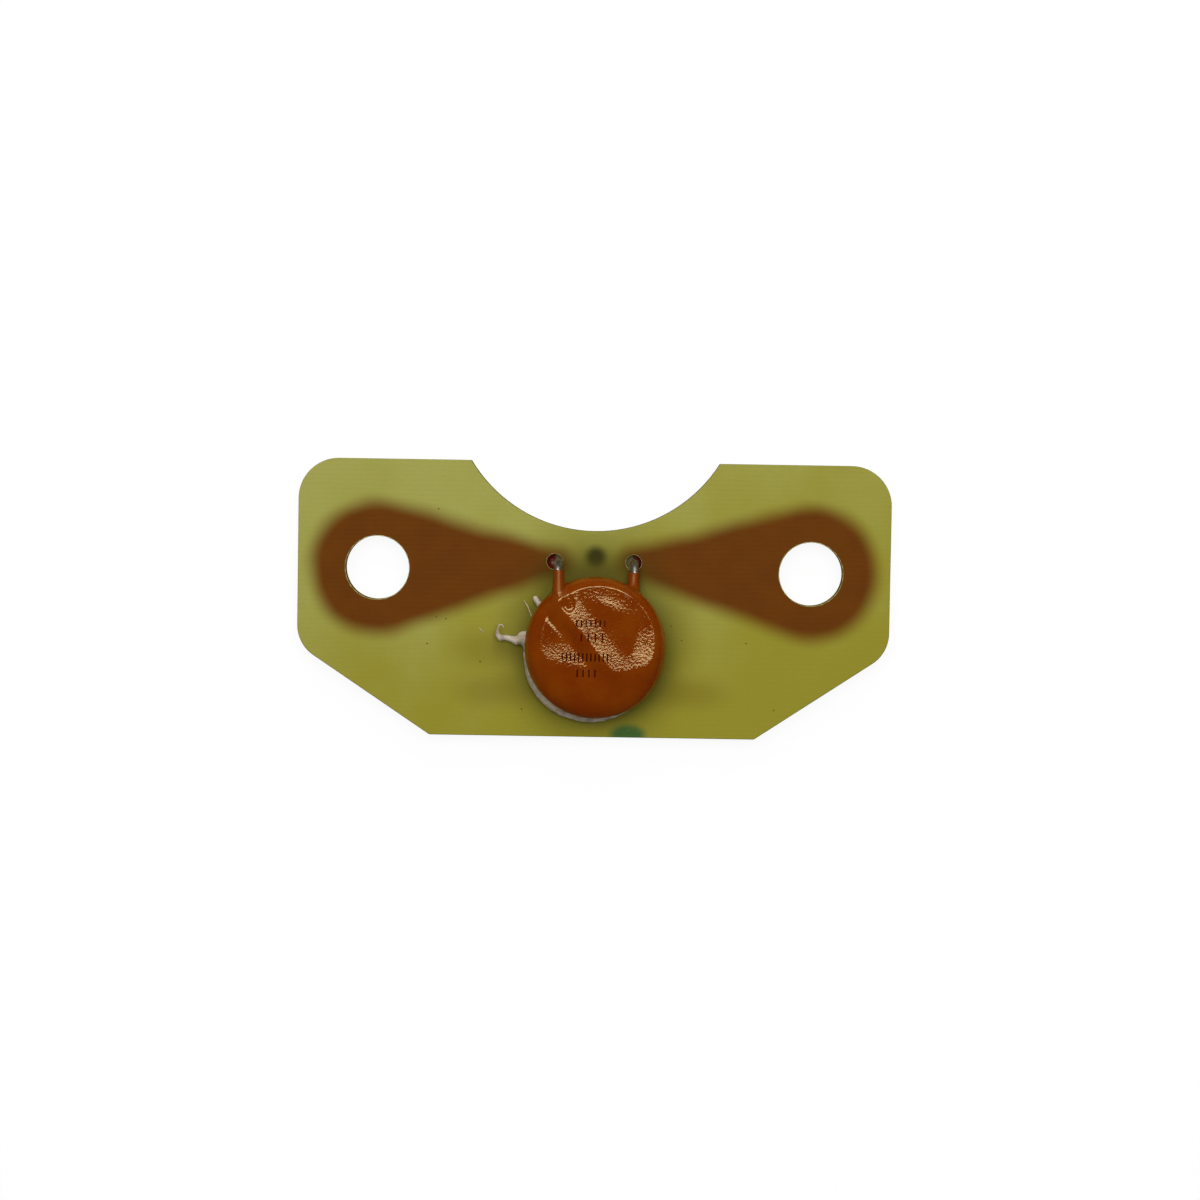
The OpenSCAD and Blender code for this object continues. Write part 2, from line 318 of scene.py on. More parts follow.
@dataclass(frozen=True)
class BareLaminate:
    """Bare glass-epoxy laminate, FR4 type, sawn and routed.

    It is cloudy and yellow-green. Foil on the far face shows through it as a soft brown
    shape, and the glass weave as faint lines. Cut edges are dull, and the side faces are
    painted darker, partly in the sawn edge's own tone and partly as painted shade.
    """

    pale: str = "#a8a755"
    deep: str = "#9a922d"
    over_foil: str = "#6f3c04"
    over_foil_deep: str = "#603103"
    fibre_tone_and_edge_shade: str = "#6d6426"
    ink_through: str = "#1b2912"
    ink: str = "#386232"
    smudge: str = "#6d5716"
    painted_shade: str = "#453b06"
    # Painted shade: darkens the board round the disc, between the leads and towards the notch
    weave_pitch: float = 0.5
    foil_blur: float = 1.15
    foil_wander: float = 0.4

    def foil_distance(self, shader: Shader, x: Value, y: Value) -> Value:
        """Gives the distance to the foil's outline, in metres and negative inside it.

        Args:
            shader: The shader to add to.
            x: The place's X coordinate. Both foils are alike, so its size alone is read.
            y: The place's Y coordinate.

        Returns:
            The distance.
        """
        big_x, tip_x = BOARD.hole_pitch / 2, BOARD.lead_hole_pitch / 2
        run = Vector((tip_x - big_x, BOARD.lead_hole_y))
        fall = (BOARD.foil_r - BOARD.foil_tip_r) / run.length
        slope = fall / math.sqrt(1 - fall * fall)
        along = run.normalized()
        x = shader.add("Math.SUBTRACT", shader.add("Math.ABSOLUTE", x), big_x * MM)
        rise = shader.add("Math.MULTIPLY", y, along.y)
        forward = shader.add("Math.MULTIPLY_ADD", x, along.x, rise)
        rise = shader.add("Math.MULTIPLY", y, along.x)
        across = shader.add("Math.MULTIPLY_ADD", x, -along.y, rise)
        across = shader.add("Math.ABSOLUTE", across)
        share = shader.add("Math.MULTIPLY_ADD", across, -slope, forward)
        share = shader.add("Clamp", shader.add("Math.DIVIDE", share, run.length * MM))
        past = shader.add("Math.MULTIPLY_ADD", share, -run.length * MM, forward)
        past, across = (shader.add("Math.POWER", side, 2.0) for side in (past, across))
        gap = shader.add("Math.SQRT", shader.add("Math.ADD", past, across))
        taper = (BOARD.foil_tip_r - BOARD.foil_r) * MM
        radius = shader.add("Math.MULTIPLY_ADD", share, taper, BOARD.foil_r * MM)
        return shader.add("Math.SUBTRACT", gap, radius)

    @staticmethod
    def spot(shader: Shader, x: float, y: float, size_x: float, size_y: float,
             soft: float) -> Value:
        """Makes a soft oval mask on the board.

        Args:
            shader: The shader to add to.
            x: Its centre along X, in millimetres.
            y: Its centre along Y, in millimetres.
            size_x: Its half-length along X.
            size_y: Its half-length along Y.
            soft: The share of its radius over which it fades.

        Returns:
            The mask.
        """
        moved = shader.add("Mapping", shader.place, (-x / size_x, -y / size_y, 0),
                           Scale=(1 / size_x / MM, 1 / size_y / MM, 0))
        length = shader.add("VectorMath.LENGTH", moved)
        return shader.add("MapRange", length, 1 + soft, 1 - soft, **SOFT)

    def see_foil(self, shader: Shader, body: Value, above: Value, x: Value, y: Value) -> Value:
        """Lets the foil show through from the far face, with a blurred edge.

        Args:
            shader: The shader to add to.
            body: The laminate's colour.
            above: 1 on the upper face, and 0 lower down.
            x: The place's X coordinate.
            y: The place's Y coordinate.

        Returns:
            The colour.
        """
        wander = self.foil_wander * MM
        wobble = shader.add("Math.MULTIPLY_ADD", shader.mottle(6.0, 1.0, 4.0), 2 * wander, -wander)
        distance = shader.add("Math.ADD", self.foil_distance(shader, x, y), wobble)
        blur = self.foil_blur * MM
        through = shader.add("MapRange", distance, blur, -blur, **SOFT)
        through = shader.add("Math.MULTIPLY", through, above)
        mottle = shader.mottle(2.5, 3.0, 7.0)
        brown = shader.add("Mix", mottle, self.over_foil_deep, self.over_foil, **COLOURS)
        return shader.add("Mix", through, body, brown, **COLOURS)

    def mark(self, shader: Shader, body: Value, above: Value) -> Value:
        """Adds the shade round the disc, the smudges and the two spots of ink.

        Args:
            shader: The shader to add to.
            body: The laminate's colour.
            above: 1 on the upper face, and 0 lower down.

        Returns:
            The colour.
        """
        # Each mark's place, half-lengths along X and Y, softness, colour and strength
        for x, y, size_x, size_y, soft, colour, strength in (
                (0.17, 1.45, 1.0, 1.0, 0.6, self.ink_through, 0.98),
                (-10.8, -8.3, 3.2, 1.6, 0.8, self.smudge, 0.30),
                (-10.0, -12.6, 3.4, 1.5, 0.8, self.smudge, 0.34),
                (9.8, -12.6, 3.4, 1.4, 0.8, self.smudge, 0.34),
                # The last three rows are painted shade: round the disc, between the leads and
                # towards the notch
                (0.2, -7.4, 9.2, 9.0, 0.3, self.painted_shade, 0.6),
                (0.2, -0.6, 4.4, 2.0, 0.8, self.painted_shade, 0.6),
                (0.2, 2.4, 5.5, 2.6, 0.8, self.painted_shade, 0.22)):
            mask = self.spot(shader, x, y, size_x, size_y, soft)
            amount = shader.add("Math.MULTIPLY", mask, strength)
            amount = shader.add("Math.MULTIPLY", amount, above)
            body = shader.add("Mix", amount, body, colour, **COLOURS)
        patch = self.spot(shader, 3.75, -17.0, 1.75, 1.0, 0.4)
        worn = shader.add("MapRange", shader.mottle(0.8, 3.0, 6.0), 0.1, 0.42, **SOFT)
        patch = shader.add("Math.MULTIPLY", patch, worn)
        patch = shader.add("Math.MULTIPLY", patch, 0.9)
        return shader.add("Mix", patch, body, self.ink, **COLOURS)

    def build(self) -> bpy.types.Material:
        """Makes the material.

        Returns:
            The material.
        """
        shader = Shader("bare_glass_epoxy_laminate")
        x, y, z = shader.add("SeparateXYZ", shader.place).outputs
        above = shader.add("MapRange", z, (BOARD.top - 0.3) * MM, (BOARD.top - 0.05) * MM, **SOFT)
        # Clouds, paler towards the notch and the left
        cloud = shader.add("Math.MULTIPLY_ADD", shader.mottle(9.0, 3.0), 0.6, 0.2)
        cloud = shader.add("Math.MULTIPLY_ADD", x, -5.0, cloud)
        cloud = shader.add("Math.MULTIPLY_ADD", y, 14.0, cloud)
        cloud = shader.add("MapRange", cloud, 0.25, 0.8, **SOFT)
        body = shader.add("Mix", cloud, self.deep, self.pale, **COLOURS)
        fine = shader.mottle(0.35, 2.0)
        grain = shader.add("Math.MULTIPLY", fine, 0.10)
        body = shader.add("Mix", grain, body, self.fibre_tone_and_edge_shade, **COLOURS)
        body = self.see_foil(shader, body, above, x, y)

        threads = shader.add("Math.MULTIPLY", y, math.tau / self.weave_pitch / MM)
        threads = shader.add("Math.SINE", threads)
        threads = shader.add("Math.MULTIPLY", threads, shader.mottle(4.0, 2.0, 9.0))
        weave = shader.add("MapRange", threads, -0.6, 0.9, **SOFT)
        faint = shader.add("Math.MULTIPLY", weave, 0.05)
        body = shader.add("Mix", faint, body, self.fibre_tone_and_edge_shade, **COLOURS)
        body = self.mark(shader, body, above)

        # Side faces are painted darker: partly the sawn edge's own tone, partly painted shade
        normal = shader.add("NewGeometry").outputs["Normal"]
        facing = shader.add("SeparateXYZ", normal).outputs["Z"]
        facing = shader.add("Math.ABSOLUTE", facing)
        flat = shader.add("MapRange", facing, 0.55, 0.9, **SOFT)
        body = shader.add("Mix", flat, self.fibre_tone_and_edge_shade, body, **COLOURS)
        layers = shader.add("Math.MULTIPLY_ADD", weave, 0.3, fine)
        return shader.finish(
            Base_Color=body, Specular_IOR_Level=0.05,
            Roughness=shader.add("Math.MULTIPLY_ADD", fine, 0.15, 0.45),
            Normal=shader.add("Bump", Height=layers, Distance=0.006 * MM))


@dataclass(frozen=True)
class DullFoil:
    """Etched copper foil under a thin coat of flux, brown-orange and softly scratched."""

    bright: str = "#c47a4c"
    dull: str = "#8d4f2c"

    def build(self) -> bpy.types.Material:
        """Makes the material.

        Returns:
            The material.
        """
        shader = Shader("etched_copper_foil")
        stain = shader.add("MapRange", shader.mottle(2.2, 4.0), 0.35, 0.7, **SOFT)
        stretched = shader.add("Mapping", shader.place, Scale=(1.0, 9.0, 1.0))
        brushed = shader.mottle(0.6, 3.0, place=stretched)
        colour = shader.add("Mix", stain, self.bright, self.dull, **COLOURS)
        scratch = shader.add("Math.MULTIPLY", brushed, 0.3)
        colour = shader.add("Mix", scratch, colour, self.dull, **COLOURS)
        return shader.finish(
            Base_Color=colour, Metallic=1.0,
            Roughness=shader.add("Math.MULTIPLY_ADD", brushed, 0.25, 0.25),
            Normal=shader.add("Bump", Height=brushed, Distance=0.006 * MM))


@dataclass(frozen=True)
class TinSolder:
    """Wave-soldered tin alloy: bright grey, wetted smooth, with a faint frosting."""

    name: str = "tin_solder"
    bright: str = "#c9c8c2"
    dull: str = "#8f8c82"
    roughness: float = 0.38

    def build(self) -> bpy.types.Material:
        """Makes the material.

        Returns:
            The material.
        """
        shader = Shader(self.name)
        frost = shader.add("MapRange", shader.mottle(0.25, 4.0), 0.3, 0.75, **SOFT)
        grain = shader.mottle(0.12, 3.0, 2.0)
        return shader.finish(
            Base_Color=shader.add("Mix", frost, self.bright, self.dull, **COLOURS),
            Metallic=1.0, Roughness=shader.add("Math.MULTIPLY_ADD", frost, 0.2, self.roughness),
            Normal=shader.add("Bump", Height=grain, Distance=0.008 * MM))


@dataclass(frozen=True)
class DippedEpoxy:
    """Orange epoxy that the disc was dipped in and baked: glossy, with a fine orange peel.

    A few plain dark strokes are stamped on the upper face, and the necks are duller. The
    real peel is finer than 0.22 mm, which is as fine as a render still shows.
    """

    colour: str = "#833a01"
    deep: str = "#792e00"
    stamp: str = "#3c1002"
    sheen: str = "#ffeaa8"
    peel_size: float = 0.22
    peel_depth: float = 0.0105

    def build(self) -> bpy.types.Material:
        """Makes the material.

        Returns:
            The material.
        """
        shader = Shader("dipped_epoxy")
        x, y, z = shader.add("SeparateXYZ", shader.place).outputs
        cloud = shader.add("MapRange", shader.mottle(2.6, 3.0), 0.3, 0.7, **SOFT)
        fleck = shader.add("MapRange", shader.mottle(0.22, 2.0, 3.0), 0.35, 0.65, **SOFT)
        colour = shader.add("Mix", cloud, self.deep, self.colour, **COLOURS)
        fleck = shader.add("Math.MULTIPLY", fleck, 0.12)
        colour = shader.add("Mix", fleck, colour, self.deep, **COLOURS)
        ink = self.strokes(shader, x, y, z)
        colour = shader.add("Mix", ink, colour, self.stamp, **COLOURS)
        side = shader.add("Math.SUBTRACT", x, VARISTOR.x * MM)
        side = shader.add("Math.ABSOLUTE", side)
        side = shader.add("MapRange", side, 2.6 * MM, 3.3 * MM, **SOFT)
        end = shader.add("MapRange", y, -2.8 * MM, -1.8 * MM, **SOFT)
        neck = shader.add("Math.MULTIPLY", side, end)
        peel = shader.mottle(self.peel_size, 1.0, 5.0)
        return shader.finish(
            Base_Color=colour, IOR=1.6, Specular_Tint=self.sheen,
            Roughness=shader.add("Math.MULTIPLY_ADD", neck, 0.3, 0.05),
            Specular_IOR_Level=shader.add("Math.MULTIPLY_ADD", ink, -0.5, 0.5),
            Subsurface_Weight=0.06, Subsurface_Scale=0.6 * MM,
            Subsurface_Radius=(1.0, 0.35, 0.08),
            Normal=shader.add("Bump", Height=peel, Distance=self.peel_depth * MM))

    @staticmethod
    def strokes(shader: Shader, x: Value, y: Value, z: Value) -> Value:
        """Makes the mask of the stamped strokes: rows of plain bars, with no letters.

        Args:
            shader: The shader to add to.
            x: The place's X coordinate.
            y: The place's Y coordinate.
            z: The place's Z coordinate.

        Returns:
            The mask.
        """
        def band(value: Value, middle: float, half: float, soft: float) -> Value:
            """Makes a mask that is 1 within half of the middle, in millimetres."""
            gap = shader.add("Math.SUBTRACT", value, middle * MM)
            gap = shader.add("Math.ABSOLUTE", gap)
            return shader.add("MapRange", gap, (half + soft) * MM, (half - soft) * MM, **SOFT)

        x = shader.add("Math.SUBTRACT", x, VARISTOR.x * MM)
        y = shader.add("Math.SUBTRACT", y, VARISTOR.y * MM)
        mask: object = 0.0
        # Each row: its centre, half its width, the bars' pitch and half a bar's height
        for row_x, row_y, half_w, pitch, half_h in (
                (-0.55, 2.6, 1.55, 0.48, 0.34), (-0.55, 1.15, 1.45, 0.72, 0.4),
                (-0.85, -0.9, 2.55, 0.42, 0.42), (-0.9, -2.55, 1.2, 0.6, 0.4)):
            bar = shader.add("Math.ADD", x, 50 * pitch * MM)
            bar = shader.add("Math.PINGPONG", bar, pitch / 2 * MM)
            bar = shader.add("MapRange", bar, 0.1 * MM, 0.06 * MM, **SOFT)
            bar = shader.add("Math.MULTIPLY", bar, band(y, row_y, half_h, 0.03))
            bar = shader.add("Math.MULTIPLY", bar, band(x, row_x, half_w, 0.02))
            mask = shader.add("Math.MAXIMUM", mask, bar)
        worn = shader.add("MapRange", shader.mottle(0.3, 2.0, 8.0), 0.2, 0.45, **SOFT)
        worn = shader.add("Math.MULTIPLY_ADD", worn, 0.3, 0.7)
        mask = shader.add("Math.MULTIPLY", mask, worn)
        low, high = (VARISTOR.mid_z + 1.0) * MM, (VARISTOR.mid_z + 1.1) * MM
        return shader.add("Math.MULTIPLY", mask, shader.add("MapRange", z, low, high, **SOFT))


@dataclass(frozen=True)
class CuredSilicone:
    """White silicone adhesive, squeezed out and cured: soft, satin and slightly soiled."""

    pale: str = "#c6b7a4"
    soiled: str = "#9a8871"

    def build(self) -> bpy.types.Material:
        """Makes the material.

        Returns:
            The material.
        """
        shader = Shader("cured_silicone")
        soil = shader.add("MapRange", shader.mottle(0.7, 4.0), 0.35, 0.75, **SOFT)
        grain = shader.mottle(0.3, 4.0, 2.0)
        return shader.finish(
            Base_Color=shader.add("Mix", soil, self.pale, self.soiled, **COLOURS),
            Roughness=0.42, IOR=1.41, Subsurface_Weight=0.15, Subsurface_Scale=0.5 * MM,
            Normal=shader.add("Bump", Height=grain, Distance=0.02 * MM))


@dataclass(frozen=True)
class Rosin:
    """Soldering rosin in the lead holes: dark red over the foil, greenish over the board."""

    red: str = "#5a1405"
    green: str = "#6f6c45"
    dark: str = "#2a0d04"

    def build(self) -> bpy.types.Material:
        """Makes the material.

        Returns:
            The material.
        """
        shader = Shader("soldering_rosin")
        x = shader.add("SeparateXYZ", shader.place).outputs["X"]
        outward = shader.add("Math.ABSOLUTE", x)
        edge = BOARD.lead_hole_pitch / 2 - 0.1
        outer = shader.add("MapRange", outward, (edge - 0.12) * MM, (edge + 0.12) * MM, **SOFT)
        mottle = shader.mottle(0.25, 3.0)
        colour = shader.add("Mix", outer, self.green, self.red, **COLOURS)
        cloud = shader.add("Math.MULTIPLY", mottle, 0.3)
        return shader.finish(
            Base_Color=shader.add("Mix", cloud, colour, self.dark, **COLOURS),
            Roughness=0.2, IOR=1.53,
            Normal=shader.add("Bump", Height=mottle, Distance=0.03 * MM))


@dataclass(frozen=True)
class PlainMatter:
    """A small plain substance, such as fired zinc oxide, dust or frayed glass."""

    name: str
    light: str
    dark: str
    grain: float
    roughness: float = 0.6

    def build(self) -> bpy.types.Material:
        """Makes the material.

        Returns:
            The material.
        """
        shader = Shader(self.name)
        grain = shader.add("MapRange", shader.mottle(self.grain, 4.0), 0.3, 0.7, **SOFT)
        return shader.finish(
            Base_Color=shader.add("Mix", grain, self.light, self.dark, **COLOURS),
            Roughness=self.roughness,
            Normal=shader.add("Bump", Height=grain, Distance=0.01 * MM))


# ---------------------------------------------------------------------------------------
# Mesh tools
# ---------------------------------------------------------------------------------------


def to_piece(name: str, mesh: bpy.types.Mesh, smooth: bool = True,
             merge: float = 0.0) -> bpy.types.Object:
    """Makes an object of a mesh.

    Args:
        name: The piece's name.
        mesh: The mesh.
        smooth: Whether the faces are shaded smoothly.
        merge: Points nearer to each other than this, in millimetres, are made one.

    Returns:
        The new object, with its faces pointing outwards.
    """
    shape = bmesh.new()
    shape.from_mesh(mesh)
    if merge:
        bmesh.ops.remove_doubles(shape, verts=shape.verts, dist=merge * MM)
    bmesh.ops.recalc_face_normals(shape, faces=shape.faces)
    shape.to_mesh(mesh)
    shape.free()
    mesh.polygons.foreach_set("use_smooth", [smooth] * len(mesh.polygons))
    piece = bpy.data.objects.new(name, mesh)
    bpy.context.scene.collection.objects.link(piece)
    return piece


def to_object(name: str, points: Sequence[Point] | np.ndarray, faces: Sequence[Sequence[int]],
              material: bpy.types.Material, smooth: bool = True) -> bpy.types.Object:
    """Makes an object from points in millimetres.

    Args:
        name: The piece's name.
        points: One row of X, Y and Z for each point.
        faces: The indexes of each face's corners.
        material: The piece's material.
        smooth: Whether the faces are shaded smoothly.

    Returns:
        The new object, with its faces pointing outwards.
    """
    mesh = bpy.data.meshes.new(name)
    mesh.from_pydata((np.asarray(points) * MM).tolist(), [], [list(f) for f in faces])
    mesh.materials.append(material)
    return to_piece(name, mesh, smooth)


def place_piece(piece: bpy.types.Object, slot: str, *nodes: str) -> bpy.types.Object:
    """Fixes a piece to the board's body and reports it.

    Args:
        piece: The piece.
        slot: The name of a material slot in the record. It is not used.
        *nodes: The CAD nodes that it stands for.

    Returns:
        The piece.
    """
    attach(piece, BODY)
    if nodes:
        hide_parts(*nodes)
    LOG.info("%s: %d faces", piece.name, len(piece.data.polygons))
    return piece


def smooth_min(first: np.ndarray, second: np.ndarray, blend: float) -> np.ndarray:
    """Joins two distance fields with a fillet.

    Args:
        first: The first distance.
        second: The second distance.
        blend: The distance over which they blend, in millimetres.

    Returns:
        The distance to the joined shape.
    """
    share = np.clip(0.5 + 0.5 * (second - first) / blend, 0, 1)
    return second * (1 - share) + first * share - blend * share * (1 - share)


def rod_distance(x: np.ndarray, y: np.ndarray, z: np.ndarray, start: Point, end: Point,
                 start_r: float, end_r: float) -> np.ndarray:
    """Gives the distance to a round-ended rod that may taper.

    Args:
        x: The places' X coordinates.
        y: Their Y coordinates.
        z: Their Z coordinates.
        start: The centre of the rod's first end.
        end: The centre of its other end.
        start_r: Its radius at the first end.
        end_r: Its radius at the other end.

    Returns:
        The distance, negative inside the rod.
    """
    run = np.subtract(end, start)
    offset = (x - start[0], y - start[1], z - start[2])
    share = np.clip(sum(o * r for o, r in zip(offset, run)) / (run @ run), 0, 1)
    gap = sum((o - share * r) ** 2 for o, r in zip(offset, run))
    return np.sqrt(gap) - (start_r + (end_r - start_r) * share)


def surface_net(distance: Field, low: Sequence[float], high: Sequence[float],
                cell: float) -> tuple[np.ndarray, np.ndarray]:
    """Meshes the surface where a distance field is zero, in even quads.

    Args:
        distance: The field, negative inside.
        low: The lowest corner of the box that holds the surface.
        high: Its highest corner.
        cell: The quads' size.

    Returns:
        The points, pulled onto the surface, and the quads' corners.
    """
    axes = [np.arange(lo - cell, hi + 2 * cell, cell) for lo, hi in zip(low, high)]
    grid = np.meshgrid(*axes, indexing="ij")
    value = distance(*grid)
    size = np.array(value.shape) - 1
    total = np.zeros((*size, 3))
    count = np.zeros(size)
    corners = [(i, j, k) for i in (0, 1) for j in (0, 1) for k in (0, 1)]

    def part(corner: tuple[int, int, int]) -> np.ndarray:
        """Gives the field at one corner of every cell."""
        return value[tuple(slice(c, c + s) for c, s in zip(corner, size))]

    for corner in corners:
        for axis in range(3):
            if corner[axis]:
                continue
            other = tuple(c + (a == axis) for a, c in enumerate(corner))
            first, second = part(corner), part(other)
            crosses = (first < 0) != (second < 0)
            share = np.where(crosses, first / np.where(crosses, first - second, 1), 0)
            for a in range(3):
                total[..., a] += np.where(crosses, corner[a] + (a == axis) * share, 0)
            count += crosses
    used = count > 0
    index = np.full(size, -1)
    index[used] = np.arange(used.sum())
    base = np.argwhere(used)
    points = (base + total[used] / count[used][:, None]) * cell + [a[0] for a in axes]

    quads = []
    for axis in range(3):
        b, c = [a for a in range(3) if a != axis]
        near = [slice(1, -1)] * 3
        near[axis] = slice(0, -1)
        far = list(near)
        far[axis] = slice(1, None)
        inside = value[tuple(near)] < 0
        crosses = inside != (value[tuple(far)] < 0)
        at = np.argwhere(crosses)
        at[:, b] += 1
        at[:, c] += 1
        ring = []
        for step_b, step_c in ((1, 1), (0, 1), (0, 0), (1, 0)):
            spot = at.copy()
            spot[:, b] -= step_b
            spot[:, c] -= step_c
            ring.append(index[tuple(spot.T)])
        quad = np.stack(ring, 1)
        flip = inside[crosses] != (axis == 1)
        quad[~flip] = quad[~flip][:, ::-1]
        quads.append(quad)

    step = cell * 0.05
    for _ in range(3):
        here = distance(*points.T)
        slope = np.stack([
            distance(*(points + step * np.eye(3)[a]).T) - here for a in range(3)], 1) / step
        points -= here[:, None] * slope / np.maximum((slope ** 2).sum(1), 0.2)[:, None]
    return points, np.vstack(quads)


def lathe(name: str, profile: Sequence[tuple[float, float]], centre: Sequence[float],
          material: bpy.types.Material, steps: int = 48) -> bpy.types.Object:
    """Turns a profile about a vertical axis.

    Args:
        name: The piece's name.
        profile: Radius and height of each point. A radius of 0 at an end closes it.
        centre: The axis's X, Y and zero height.
        material: The piece's material.
        steps: Faces round the axis.

    Returns:
        The piece.
    """
    points: list[Point] = []
    rings = []
    for radius, height in profile:
        ring = []
        for i in range(1 if radius == 0 else steps):
            angle = math.tau * i / steps
            ring.append(len(points))
            points.append((centre[0] + radius * math.cos(angle),
                           centre[1] + radius * math.sin(angle), centre[2] + height))
        rings.append(ring)
    faces = []
    for first, second in zip(rings, rings[1:]):
        for i in range(steps):
            j = (i + 1) % steps
            face = [first[i % len(first)], first[j % len(first)],
                    second[j % len(second)], second[i % len(second)]]
            faces.append(list(dict.fromkeys(face)))
    return to_object(name, points, faces, material)


# ---------------------------------------------------------------------------------------
# Geometry Nodes: tubes along paths and grit scattered on points
# ---------------------------------------------------------------------------------------


class GeometryTree(Tree):
    """A Geometry Nodes tree with named inputs, and a way to make a plain piece with it."""

    def __init__(self, name: str, **inputs: tuple[str, object]) -> None:
        """Starts a tree that takes points, a material and the named inputs.

        Args:
            name: The tree's name.
            **inputs: The kind and default value of each named input.
        """
        super().__init__(bpy.data.node_groups.new(name, "GeometryNodeTree"))
        face = self.tree.interface
        for way in ("INPUT", "OUTPUT"):
            face.new_socket("Geometry", in_out=way, socket_type="NodeSocketGeometry")
        self.ids: dict[str, str] = {}
        for key, (kind, value) in {"Material": ("Material", None), **inputs}.items():
            socket = face.new_socket(key, in_out="INPUT", socket_type="NodeSocket" + kind)
            if value is not None:
                socket.default_value = value
            self.ids[key] = socket.identifier
        self.given = self.add("NodeGroupInput").outputs

    def finish(self, geometry: bpy.types.Node) -> None:
        """Ends the tree with Realize Instances and Set Material.

        Args:
            geometry: The node that gives the geometry.
        """
        real = self.add("GeometryNodeRealizeInstances", geometry)
        dressed = self.add("GeometryNodeSetMaterial", real, Material=self.given["Material"])
        self.add("NodeGroupOutput", dressed)

    def bake(self, name: str, points: Sequence[Point], edges: Sequence[tuple[int, int]] = (),
             radii: Sequence[float] = (), **values: object) -> bpy.types.Object:
        """Runs the tree on points and makes a plain piece of the result.

        Args:
            name: The piece's name.
            points: The points, in millimetres.
            edges: The indexes of the two points that each edge joins.
            radii: The thickness at each point, in millimetres.
            **values: What the named inputs get.

        Returns:
            The piece, with no modifier left.
        """
        path = bpy.data.meshes.new(name + "_path")
        path.from_pydata((np.array(points) * MM).tolist(), list(edges), [])
        if radii:
            thickness = path.attributes.new("thickness", "FLOAT", "POINT")
            thickness.data.foreach_set("value", [r * MM for r in radii])
        carrier = bpy.data.objects.new(name + "_path", path)
        bpy.context.scene.collection.objects.link(carrier)
        modifier = carrier.modifiers.new("nodes", "NODES")
        modifier.node_group = self.tree
        for key, value in values.items():
            modifier[self.ids[key]] = value
        deps = bpy.context.evaluated_depsgraph_get()
        mesh = bpy.data.meshes.new_from_object(carrier.evaluated_get(deps))
        bpy.data.objects.remove(carrier)
        bpy.data.meshes.remove(path)
        mesh.name = name
        return to_piece(name, mesh, merge=0.002)


class Tubes(GeometryTree):
    """Sweeps a round section along paths, with its own radius at each point."""

    def __init__(self) -> None:
        """Builds the tree."""
        super().__init__("tube_along_path", Segments=("Int", 16), Roughen=("Float", 0.0),
                         Grain=("Float", 1000.0), Seed=("Float", 1.0))
        given = self.given
        radius = self.add("GeometryNodeInputNamedAttribute", "thickness", data_type="FLOAT")
        curve = self.add("GeometryNodeMeshToCurve", given["Geometry"])
        curve = self.add("GeometryNodeSetCurveRadius", curve, Radius=radius)
        section = self.add("GeometryNodeCurvePrimitiveCircle", given["Segments"], Radius=1.0)
        swept = self.add("GeometryNodeCurveToMesh", curve, section, radius, True)
        noise = self.add("TexNoise", Scale=given["Grain"], W=given["Seed"], Detail=3.0,
                         noise_dimensions="4D")
        push = self.add("VectorMath.SUBTRACT", noise.outputs["Color"], (0.5, 0.5, 0.5))
        push = self.add("VectorMath.SCALE", push, given["Roughen"])
        self.finish(self.add("GeometryNodeSetPosition", swept, Offset=push))

    def sweep(self, name: str, paths: Sequence[Sequence[tuple[Point, float]]],
              material: bpy.types.Material, segments: int, roughen: float,
              grain: float, seed: float) -> bpy.types.Object:
        """Makes one piece of tubes.

        Args:
            name: The piece's name.
            paths: For each tube, its points in millimetres, each with the radius there.
            material: The piece's material.
            segments: Faces round a tube.
            roughen: How far the surface wanders, in millimetres.
            grain: The size of that wandering, in millimetres.
            seed: The wandering's seed.

        Returns:
            The piece.
        """
        edges: list[tuple[int, int]] = []
        first = 0
        for path in paths:
            edges += [(first + i, first + i + 1) for i in range(len(path) - 1)]
            first += len(path)
        points, radii = zip(*(place for path in paths for place in path))
        return self.bake(name, points, edges, radii, Material=material, Segments=segments,
                         Roughen=2 * roughen * MM, Grain=1 / (grain * MM), Seed=seed)


class Grit(GeometryTree):
    """Scatters small crumbs on given points, each turned and scaled by a fixed seed."""

    def __init__(self) -> None:
        """Builds the tree."""
        super().__init__("grit_on_points", Size=("Float", 0.0001), Seed=("Int", 1))
        given = self.given
        crumb = self.add("GeometryNodeMeshIcoSphere", given["Size"], 2)
        turn, scale = (
            self.add("FunctionNodeRandomValue", low, high, Seed=given["Seed"],
                     data_type="FLOAT_VECTOR")
            for low, high in (((0.0, 0.0, 0.0), (0.2, 0.2, math.tau)),
                              ((0.6, 0.35, 0.25), (1.5, 0.8, 0.45))))
        self.finish(self.add("GeometryNodeInstanceOnPoints", given["Geometry"],
                             Instance=crumb, Rotation=turn, Scale=scale))

    def scatter(self, name: str, points: Sequence[Point], size: float,
                material: bpy.types.Material, seed: int) -> bpy.types.Object:
        """Makes one piece of crumbs.

        Args:
            name: The piece's name.
            points: Where the crumbs lie, in millimetres.
            size: A crumb's usual radius.
            material: The piece's material.
            seed: The seed of their turns and scales.

        Returns:
            The piece.
        """
        return self.bake(name, points, Material=material, Size=size * MM, Seed=seed)


# ---------------------------------------------------------------------------------------
# Sub-assemblies
# ---------------------------------------------------------------------------------------


